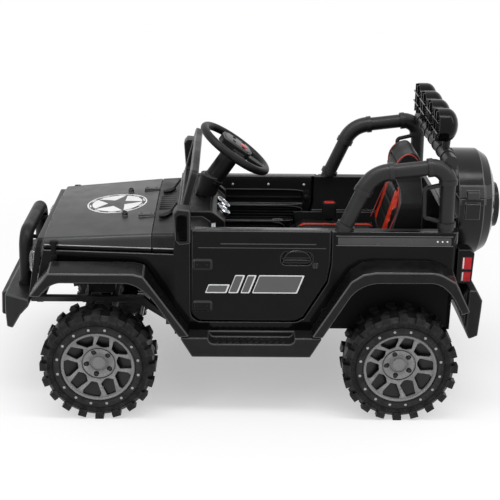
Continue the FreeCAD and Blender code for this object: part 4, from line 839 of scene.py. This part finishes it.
def arc_band(inner, outer, start, end, steps):
    """Part of a flat ring round the star."""
    turns = [start + (end - start) * k / steps for k in range(steps + 1)]
    return sheet_of([round_star(outer, turn) for turn in turns]
                    + [round_star(inner, turn) for turn in turns[::-1]])


star = [star_gap(k) for k in range(5)]
star += [arc_band(68.5, 72, 60 * k, 60 * k + 60, 12) for k in range(6)]
star += [arc_band(63, 66.5, 36 * k + 4, 36 * k + 20, 3) for k in range(10)]
piece("hood_star", draped(star, "hood", 0.12, 0.25), DECAL_WHITE, None, smooth_angle=60)

both("hood_hinge_plate", lambda: [
    screw_head(aimed((x, 100, 422.8), (0, 0, 1)), 2.6, 1.0) for x in (238, 261)], MATTE)
both("hood_bump", lambda: [turned([(0, 424), (4.5, 423.5), (6.8, 420), (7.2, 408), (0, 408)],
                                  from_top(0, 301, 90), 24)], RUBBER)
both("hood_latch", lambda: [
    slab(oblong(445, 330, 456, 391), from_side(211), 6.5, 3, 1.5),
    slab(oblong(443, 352, 458, 362), from_side(212.5), 7.5, 2, 1.5),
    slab(oblong(442, 384, 459, 393), from_side(208), 9, 3, 1.5)], RUBBER)

HOOD_SECTION = [(219, 373), (222.6, 380), (220.8, 400), (218.8, 404.6), (215.2, 408.2),
                (211, 410.2), (206, 410.8), (154, 414.5), (104, 417.2), (52, 418.8), (0, 419.4)]
piece("hood_seal", [slab(HOOD_SECTION + [(-y, z) for y, z in HOOD_SECTION[-2::-1]],
                         from_front(226.8), 4.4)], BLACK_AND_PAINTED_SHADE)

HOOD_LIP_Y = 227.6
HOOD_LIP_Z = 381.3
FENDER_EDGE_Y = 234.4
FENDER_EDGE_Z = 370.6
HOOD_REAR_X = 180.0
HOOD_TAPER = 23.0 / 313.0


def hood_line(x0, x1, foot_y, z, radius):
    """Painted highlight bead on the hood's lip or on the fender below; both draw in to the front.
    """
    return tube([(x, foot_y - HOOD_TAPER * (x - HOOD_REAR_X), z)
                 for x in (x0, (x0 + x1) / 2, x1)], radius)


# Pale beads along the hood's lip and the fender edge: painted highlight.
both("hood_lip_highlight", lambda: [hood_line(x0, x1, HOOD_LIP_Y, HOOD_LIP_Z, 1.5)
                               for x0, x1 in ((231, 473), (181, 227))],
     PAINTED_HIGHLIGHT_BEAD, "black_gloss")
both("fender_edge_highlight", lambda: [hood_line(182, 473, FENDER_EDGE_Y, FENDER_EDGE_Z, 1.0)],
     HIGHLIGHT_AND_STRIPE_GREY, "black_gloss")
# Black plates in the cowl's slots: painted shade in the slots.
piece("cowl_slot_shade", [slab(oblong(183, y - 3.2, 222, y + 3.2), from_top(417.2), 4.6, 2.5)
                          for y in range(-28, 64, 15)], BLACK_AND_PAINTED_SHADE)


# Doors and rear quarters share the strip that leans in above the belt line
def on_shoulder(z0, z1, x0, x1, thick, corner):
    """Plate on the leaning strip between belt line and rail; z is height above the floor."""
    slope = (RAIL_Z - BELT_Z) / math.hypot(RAIL_Z - BELT_Z, SKIN_Y - RAIL_Y)
    return slab(oblong(x0, (z0 - BELT_Z) / slope, x1, (z1 - BELT_Z) / slope), SHOULDER, thick,
                corner, min(0.4, thick * 0.4))


# Doors: stripe graphic, crease bead and rail strip in painted highlight, lock, hinge screws, pull
# arc and inner trim
STRIPE_LOW = 279
STRIPES = ((110, 62, 300), (58, 36, 323), (30, 10, 323), (4, -98, 323))
LOCK_X = -137
LOCK_Z = 347


def leaning(u0, v0, u1, v1, lean):
    return [(u0, v0), (u1, v0), (u1 - lean, v1), (u0 - lean, v1)]


def stripe_graphic(inset, lift):
    """Slanted bars of a plain sport stripe; inset makes the grey field inside the white."""
    low = STRIPE_LOW + inset
    return [slab(leaning(u0 - inset, low, u1 + inset, top - inset, 16 * (top - inset - low) / 44),
                 from_side(SKIN_Y + lift), 0.3, 2.0) for u0, u1, top in STRIPES]


def loop_bead(rear, front, low, high):
    """Raised bead round a pocket of the door's inner panel."""
    middle_x = (rear + front) / 2
    middle_z = (low + high) / 2
    route = [(middle_x, low), (front, low), (front, middle_z), (front, high), (middle_x, high),
             (rear, high), (rear, middle_z), (rear, low), (middle_x, low)]
    return tube([(x, 204.4, z) for x, z in route], 1.7)


def lock_ring():
    at = aimed((LOCK_X, SKIN_Y, LOCK_Z), (0, 1, 0))
    return [ring(5.2, 7.2, -0.5, 1.6, at, 28, 0.5),
            turned([(0, 0.9), (4.4, 0.7), (4.8, -0.4), (0, -0.4)], at, 24)]


both("door_stripe_white", lambda: stripe_graphic(0.0, 0.0), DECAL_WHITE, None, DOOR)
both("door_stripe_grey", lambda: stripe_graphic(2.6, 0.2), DECAL_GREY_AND_HIGHLIGHT, None, DOOR)
# Crease strips, pale as painted highlight along the crease.
both("door_crease", lambda: [
    on_shoulder(396, 398.4, -138, 76, 0.9, 0.8),
    slab(oblong(-160, 387, 126, 389), from_side(SKIN_Y - 0.4), 1.1, 0.8, 0.5)],
    HIGHLIGHT_AND_STRIPE_GREY, "black_gloss", DOOR)
# Strip on the rail's top, pale as painted highlight on the lit top face.
both("door_rail_strip", lambda: [
    slab(oblong(DOOR_REAR_X + 6, 203, DOOR_FRONT_X - 6, 222), from_top(RAIL_Z - 0.4), 1.2, 4,
         0.6)], HIGHLIGHT_AND_STRIPE_GREY, "black_gloss", DOOR)
both("door_lock", lock_ring, GLOSS_HIGHLIGHT_AND_LOCK, "black_gloss", DOOR)
# Keyhole as a black sheet: painted shade in the keyhole.
both("door_lock_slot", lambda: [
    slab(oblong(LOCK_X - 0.6, LOCK_Z - 2.6, LOCK_X + 0.6, LOCK_Z + 2.6),
         from_side(SKIN_Y + 0.8), 0.3)], BLACK_AND_PAINTED_SHADE, "black_gloss", DOOR)
both("door_hinge_screws", lambda: [
    screw_head(aimed((x, SKIN_Y + 3, z), (0, 1, 0)), 2.4, 1.0)
    for x in (106, 128) for z in (247, 348)], MATTE, body=DOOR)
both("door_inner_screws", lambda: [
    screw_head(aimed((x, 196.2, 404), (0, -1, 0.29)), 3.0, 1.2) for x in (48, -44, -136)],
    RIVET_SILVER, body=DOOR)
# Beads in the paler matte: painted highlight round the pockets.
both("door_inner_frame", lambda: [
    loop_bead(-89, 115, 236, 299.5), loop_bead(-134, 115, 300.5, 343.5),
    loop_bead(-145, 115, 344.5, 388)], MATTE_EDGE_HIGHLIGHT, body=DOOR)
both("door_inner_ribs", lambda: [
    slab(oblong(-120, z, 102, z + 3.4), POCKET_FLOOR, 6.5, 1.5, 1.2)
    for z in (309, 317, 325, 333)] + [
    slab([(104, 248), (66, 288), (-76, 288), (-76, 283), (63, 283), (98, 246)], POCKET_FLOOR, 7,
         1.5, 1.4),
    slab(oblong(-78, 256, 78, 261), POCKET_FLOOR, 6, 2, 1.4),
    slab(oblong(-132, 362, 104, 368), POCKET_FLOOR, 6, 2.5, 1.6)], MATTE, body=DOOR)
both("door_inner_latch", lambda: [
    slab(oblong(-152, 336, -134, 386), DOOR_INSIDE, 3.6, 4, 1.2),
    turned([(0, 6), (5, 5.4), (7, 3), (7, 0), (0, 0)],
           aimed((-143, 202.4, 368), (0, -1, 0)), 20)], RUBBER, body=DOOR)
# Pull arc in the paler gloss: painted highlight along the recess rim.
both("door_pull_arc", lambda: [
    tube([(x, SKIN_Y + 0.2, z) for x, z in (
        (-128, 352), (-126, 368), (-112, 380), (-96, 383), (-80, 380), (-66, 368), (-64, 352))],
        1.1)], GLOSS_HIGHLIGHT_AND_LOCK, "black_gloss", DOOR)
piece("sill_badge_plate", [
    turned([(0, 1.2), (9, 1.0), (11, -0.4), (0, -0.4)],
           aimed((-70, -209.2, 300), (0, 1, 0)) @ Matrix.Diagonal((1.6, 0.7, 1, 1)), 32)],
    LIP_SILVER, "chrome")

# Rear quarter: plain stripe, three dots and beads along the crease, pale as painted highlight
both("quarter_stripe", lambda: [on_shoulder(397, 413, -440, -186, 0.5, 3.0)], HIGHLIGHT_AND_STRIPE_GREY,
     "black_gloss")
# Beads pale as painted highlight along the crease.
both("quarter_crease_highlight", lambda: [on_shoulder(414.5, 416.7, -444, -182, 1.1, 0.8),
                              on_shoulder(394.5, 396.5, -444, -182, 1.0, 0.8)],
     DECAL_GREY_AND_HIGHLIGHT, "black_gloss")
both("quarter_dots", lambda: [
    turned([(0, 0.35), (1.9, 0.35), (2.1, 0), (0, 0)], shifted(SHOULDER, x, 11.5, 0.5), 14)
    for x in (-409, -420, -431)], DECAL_WHITE, None)

# Steps: two rows of tread blocks in the recess, leaning opposite ways
both("step_treads", lambda: [
    slab(leaning(x + 15 * k, y, x + 9 + 15 * k, y + 13, lean), from_top(173.6), 2.8, 1.5, 0.8)
    for x, y, lean in ((-80, 250, 4), (-76, 266, -4)) for k in range(12)], MATTE)

# Steering wheel: pad cover, red button and thumb buttons
piece("steering_pad", [
    slab([(-26, -29), (32, -29), (39, 0), (32, 29), (-26, 29), (-34, 0)],
         shifted(COLUMN, 0, 0, 13.2), 3.2, 8, 1.6, 5)], PAD_GREY, body="steering_wheel")
piece("horn_button", [
    slab(oblong(-22, -9, -5, 12), shifted(COLUMN, 0, 0, 15.8), 2.4, 4, 1.2, 4)],
    BUTTON_RED, "buckle", "steering_wheel")
piece("thumb_buttons", [
    turned([(0, 2.2), (3.6, 1.8), (4.4, 0.4), (4.4, -1), (0, -1)], shifted(COLUMN, u, v, 16.2), 18)
    for u, v in ((14, -17), (14, 17), (-12, -20), (-12, 22))], RUBBER, body="steering_wheel")


# Dashboard: dial faces, rings and marks, vent and switches
def dial_centre(y):
    return Vector((71, y, 409))


def on_dial(outline, y, turn_deg, lift, thick):
    """Flat mark on a dial's face, drawn along its turn."""
    turn = math.radians(turn_deg)
    along = Vector((0, 1, 0)) * math.cos(turn) + DIAL_UP * math.sin(turn)
    return slab(outline, placed(dial_centre(y) + DIAL_OUT * lift, along, DIAL_OUT.cross(along),
                                DIAL_OUT), thick)


def dial_place(y):
    return placed(dial_centre(y), (0, 1, 0), DIAL_UP, DIAL_OUT)


TICK = oblong(12.2, -0.35, 15.2, 0.35)
NEEDLE = [(-3, -0.9), (13, -0.25), (13, 0.25), (-3, 0.9)]
piece("dial_faces", [turned([(0, 1.5), (16.4, 1.5), (16.4, 0.6), (0, 0.6)], dial_place(y), 40)
                     for y in DIALS_Y], DIAL_WHITE, "chrome")
piece("dial_rings", [ring(16.2, 20.2, -2, 3.4, dial_place(y), 44, 1.4) for y in DIALS_Y],
      CHROME, "chrome")
piece("dial_marks", [on_dial(TICK, y, -30 + 24 * k, 1.4, 0.3) for y in DIALS_Y for k in range(11)]
      + [on_dial(NEEDLE, y, turn, 1.7, 0.5) for y, turn in zip(DIALS_Y, (130, 60))],
      BLACK_AND_PAINTED_SHADE, "chrome")
piece("dash_vent", [slab(oblong(144, 378, 184, 416), from_front(97, -1), 6, 4, 1.5)] + [
    slab(oblong(148, 382 + k * 6.4, 180, 385 + k * 6.4), from_front(91.2, -1), 3.2, 0.8, 0.6)
    for k in range(6)], VENT_PALE, "chrome")
piece("dash_switches", [slab(oblong(y, 392, y + 14, 404), from_front(99, -1), 5, 2, 1.2)
                        for y in (-184, -164, -144)], GLOSS)

# Mirrors: glass, and a glossy cheek beside the windscreen
both("mirror_glass", lambda: [slab(oblong(279, 433, 306, 492), from_front(140.6, -1), 0.6, 5)],
     CHROME, "chrome")
both("mirror_cheek", lambda: [
    slab([(147, 430), (171, 430), (171, 484), (165, 490), (147, 490)], from_side(311.2), 0.8, 4)],
    GLOSS, "black_gloss")

# Lamps: rings of the roof lamps, silver bowls of the headlamps
piece("roof_lamp_rings", [ring(31.5, 34.6, -3, -0.2, from_front(LAMP_FACE_X, 1, y, LAMP_Z), 40,
                               0.8) for y in LAMPS_Y], CHROME, "lens_clear")
BOWL = [(33.8, 14), (30, 9), (20, 4), (0, 2), (0, 0.6), (21, 2.6), (31, 7.6), (35, 13.4),
        (33.8, 14)]
piece("headlamp_bowls", [turned(BOWL, from_front(HEADLAMP_X, 1, y, HEADLAMP_Z), 48)
                         for y in (-HEADLAMP_Y, HEADLAMP_Y)], REFLECTOR, "lens_clear")


# Seat: padded cushion and back, swelled by a short cloth run, then sewn
PAD_CAP = 4.0
PAD_VOXEL = 4.2
PAD_START = 1.8
PAD_MOMENTS = 20
SEAM_WIDTH = 2.6
CHANNEL_WIDTH = 2.4
CHANNEL_DEPTH = 1.6


def remeshed(name, node):
    """Even skin over the node's solid, a little smaller than it."""
    source = linked(name + "_source", frame["nodes"][node].data.copy())
    set_all(source.modifiers.new("grid", "REMESH"), mode="VOXEL", voxel_size=PAD_VOXEL * MM)
    mesh = bpy.data.meshes.new_from_object(
        source.evaluated_get(bpy.context.evaluated_depsgraph_get()))
    bpy.data.objects.remove(source)
    mesh.name = name
    mesh.materials.clear()
    for point in mesh.vertices:
        point.co -= point.normal * PAD_START * MM
    return mesh


def swell(pad):
    """Air pressure rounds the pad; returns where its points end."""
    cloth = pad.modifiers.new("swell", "CLOTH")
    set_all(cloth.settings, quality=6, mass=0.2, tension_stiffness=12, compression_stiffness=12,
            bending_stiffness=2, use_pressure=True, uniform_pressure_force=4)
    cloth.settings.effector_weights.gravity = 0
    cloth.collision_settings.use_collision = False
    for moment in range(1, PAD_MOMENTS + 1):
        SCENE.frame_set(moment)
    grown = pad.evaluated_get(bpy.context.evaluated_depsgraph_get())
    ends = [point.co.copy() for point in grown.data.vertices]
    pad.modifiers.remove(cloth)
    SCENE.frame_set(1)
    return ends


def sewn(distance, width, depth):
    """How far a seam at this distance pulls the cover in, in metres."""
    return depth * MM * math.exp(-(distance / (width * MM)) ** 2)


def padded_pad(name, node, slot, outward, seam_pull, is_red):
    mesh = remeshed(name, node)
    mesh.materials.append(LEATHER_BLACK)
    mesh.materials.append(LEATHER_RED)
    pad = linked(name, mesh)
    way = Vector(outward).normalized()
    starts = [point.co.copy() for point in mesh.vertices]
    normals = [point.normal.copy() for point in mesh.vertices]
    ends = swell(pad)
    for point, start, end, normal in zip(mesh.vertices, starts, ends, normals):
        moved = end - start
        if moved.length > PAD_CAP * MM:
            moved *= PAD_CAP * MM / moved.length
        facing = normal.dot(way)
        moved *= min(1.0, max(0.0, facing + 0.35))
        point.co = start + moved - normal * seam_pull(start) * max(0.0, facing)
    soft = shape_of(mesh)
    for face in soft.faces:
        face.smooth = True
        face.material_index = 1 if is_red(face.calc_center_median()) else 0
    soft.to_mesh(mesh)
    soft.free()
    set_all(pad.modifiers.new("smooth", "SUBSURF"), levels=1, render_levels=1)
    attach(pad, BODY)
    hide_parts(node)
    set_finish(pad, slot)


BOLSTER_IN = 0.047
BOLSTER_OUT = 0.079
HEAD_Z = 0.470
CUSHION_SEAM = 0.056


def back_seams(spot):
    across = abs(spot.y)
    pull = sewn(across - BOLSTER_IN, SEAM_WIDTH, 3.2) + sewn(across - BOLSTER_OUT, SEAM_WIDTH, 2.4)
    pull += sewn(spot.z - HEAD_Z, SEAM_WIDTH, 2.6)
    if across < BOLSTER_IN:
        pull += sewn((spot.z - 0.35) % 0.034 - 0.017, CHANNEL_WIDTH, CHANNEL_DEPTH)
    return pull


def cushion_seams(spot):
    across = abs(spot.y)
    pull = sewn(across - CUSHION_SEAM, SEAM_WIDTH, 2.8)
    if across < CUSHION_SEAM:
        pull += sewn((spot.x + 0.30) % 0.036 - 0.018, CHANNEL_WIDTH, CHANNEL_DEPTH)
    return pull


padded_pad("seat_back_cover", "seat_back_pad", "seat_red", (1, 0, 0.25), back_seams,
           lambda c: BOLSTER_IN < abs(c.y) < BOLSTER_OUT and c.z < HEAD_Z)
padded_pad("seat_cushion_cover", "seat_cushion", "seat_cloth", (0, 0, 1), cushion_seams,
           lambda c: 0.060 < abs(c.y) < 0.070 and c.z > 0.328)
both("headrest_piping", lambda: [
    tube([(-331, 57, 506), (-330, 58.5, 520), (-334, 58.5, 538), (-346, 58.5, 553),
          (-360, 58.5, 559), (-374, 58.5, 555), (-383, 58.5, 544)], 1.5)], THREAD_RED, "seat_red")
both("shell_piping", lambda: [
    tube([(-303, 112, 348), (-318, 112, 390), (-334, 110, 432), (-340, 103, 460),
          (-336, 84, 486)], 1.4)], THREAD_RED, "seat_red")
piece("buckle_head", [
    slab(oblong(-216, -147, -180, -123), from_top(337), 40, 5, 4, 4),
    slab(oblong(-208, -143, -188, -127), from_top(285.5), 54, 4)], RUBBER, "buckle")
buckle_button = piece("buckle_button", [
    slab(oblong(-211, -144, -185, -126), from_top(376.2), 1.6, 4, 1.0)], BUTTON_RED, "buckle")
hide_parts("belt_buckle")

# Storage drum: hub rings and catch hooks
piece("drum_hub_rings", [
    ring(inner, outer, -2, 1.0, from_front(DRUM_FACE_X, -1, 0, DRUM_HUB_Z), 56, 0.8)
    for inner, outer in ((30, 34), (42, 45))], DRUM_BLACK)
piece("drum_catch_hooks", [slab(oblong(x, 430, x + 5, 462), from_side(130.5), 3.2, 1.5, 1.0)
                           for x in (-519, -497)], RUBBER)

# Tail lamps: white edges to the rear and to the side
LENSES_Z = ((339, 365), (310, 330))
both("tail_lamp_trim", lambda: [
    slab(oblong(y, z0, y + 3.5, z1), from_front(-491, -1), 1.2, 0.6, 0.5)
    for y in (197.5, 220.5) for z0, z1 in LENSES_Z] + [
    slab(oblong(-474, z0, -471, z1), from_side(224.8), 0.8) for z0, z1 in LENSES_Z],
    DECAL_WHITE, "lens_clear")

# Studio: pale floor, white surround, soft lamps
FLOOR_NEAR = 0.2
FLOOR_FAR = 1.6
FLOOR_LIFT = 0.4
SKY_LEVEL = 0.68


def seen_directly(tree):
    """1 for what the camera, a reflection or clear plastic shows, 0 for light on surfaces."""
    path = add(tree, "LightPath").outputs
    shown = maths(tree, "MAXIMUM", path["Is Camera Ray"], path["Is Glossy Ray"])
    return maths(tree, "MAXIMUM", shown, path["Is Transmission Ray"])


def mixed(tree, fac, first, second):
    return add(tree, "MixShader", {
        "Fac": fac, 1: first.outputs[0], 2: second.outputs[0]}).outputs[0]


def floor_finish():
    """Pale floor that turns into the plain white surround away from the vehicle."""
    material, tree, shader = new_material("studio_floor")
    plug(shader, {"Base Color": rgba(0.95), "Roughness": 0.8, "Specular IOR Level": 0.0})
    away = add(tree, "VectorMath", {0: place_of(tree)}, operation="LENGTH")
    fade = ramp(tree, away.outputs["Value"], FLOOR_NEAR, FLOOR_FAR, FLOOR_LIFT, 1.0)
    white = add(tree, "Emission")
    plug(tree.nodes["Material Output"], {
        "Surface": mixed(tree, times(tree, fade, seen_directly(tree)), shader, white)})
    return material


floor_shape = bmesh.new()
bmesh.ops.create_grid(floor_shape, x_segments=1, y_segments=1, size=20)
floor = linked("floor", mesh_of("floor", floor_shape))
floor.data.materials.append(floor_finish())

world = bpy.data.worlds.new("studio")
SCENE.world = world
world.use_nodes = True
sky = world.node_tree
sky.nodes.clear()
soft_light, plain_white = [
    add(sky, "Background", {"Strength": strength, "Color": rgba(1)})
    for strength in (SKY_LEVEL, 1.0)]
add(sky, "OutputWorld", {
    "Surface": mixed(sky, seen_directly(sky), soft_light, plain_white)})


def lamp(name, spot, towards, width, height, power):
    made = linked(name, set_all(bpy.data.lights.new(name, "AREA"), shape="RECTANGLE", size=width,
                                size_y=height, energy=power))
    made.location = spot
    made.rotation_euler = (Vector(towards) - Vector(spot)).to_track_quat("-Z", "Y").to_euler()


lamp("overhead_softbox", (0.1, 0.5, 2.3), (0.0, 0.0, 0.4), 2.2, 0.4, 22)
lamp("front_strip", (1.5, 1.3, 1.6), (0.2, 0.0, 0.35), 0.3, 1.5, 7)
lamp("rear_strip", (-1.6, 0.6, 1.7), (-0.2, 0.0, 0.4), 0.3, 1.5, 7)

# Camera of the photograph
PHOTO_WIDTH = 500
FOCAL_PIXELS = 1104.42
SENSOR = 36.0
CAMERA_SPOT = (0.0576, 2.5417, 1.2455)
PITCH = math.radians(20.49)
YAW = math.radians(-1.183)
ROLL = math.radians(0.866)
ahead = Vector((math.sin(YAW) * math.cos(PITCH), -math.cos(YAW) * math.cos(PITCH),
                -math.sin(PITCH)))
right = ahead.cross(Vector((0, 0, 1))).normalized()
up = right.cross(ahead)
camera_x = right * math.cos(ROLL) + up * math.sin(ROLL)
camera_y = up * math.cos(ROLL) - right * math.sin(ROLL)
camera = linked("photo_camera", set_all(
    bpy.data.cameras.new("photo_camera"), sensor_width=SENSOR,
    lens=FOCAL_PIXELS / PHOTO_WIDTH * SENSOR, clip_end=100.0))
look = Matrix((camera_x, camera_y, -ahead)).transposed().to_4x4()
look.translation = Vector(CAMERA_SPOT)
camera.matrix_world = look
SCENE.camera = camera
SCENE.view_settings.view_transform = "Standard"
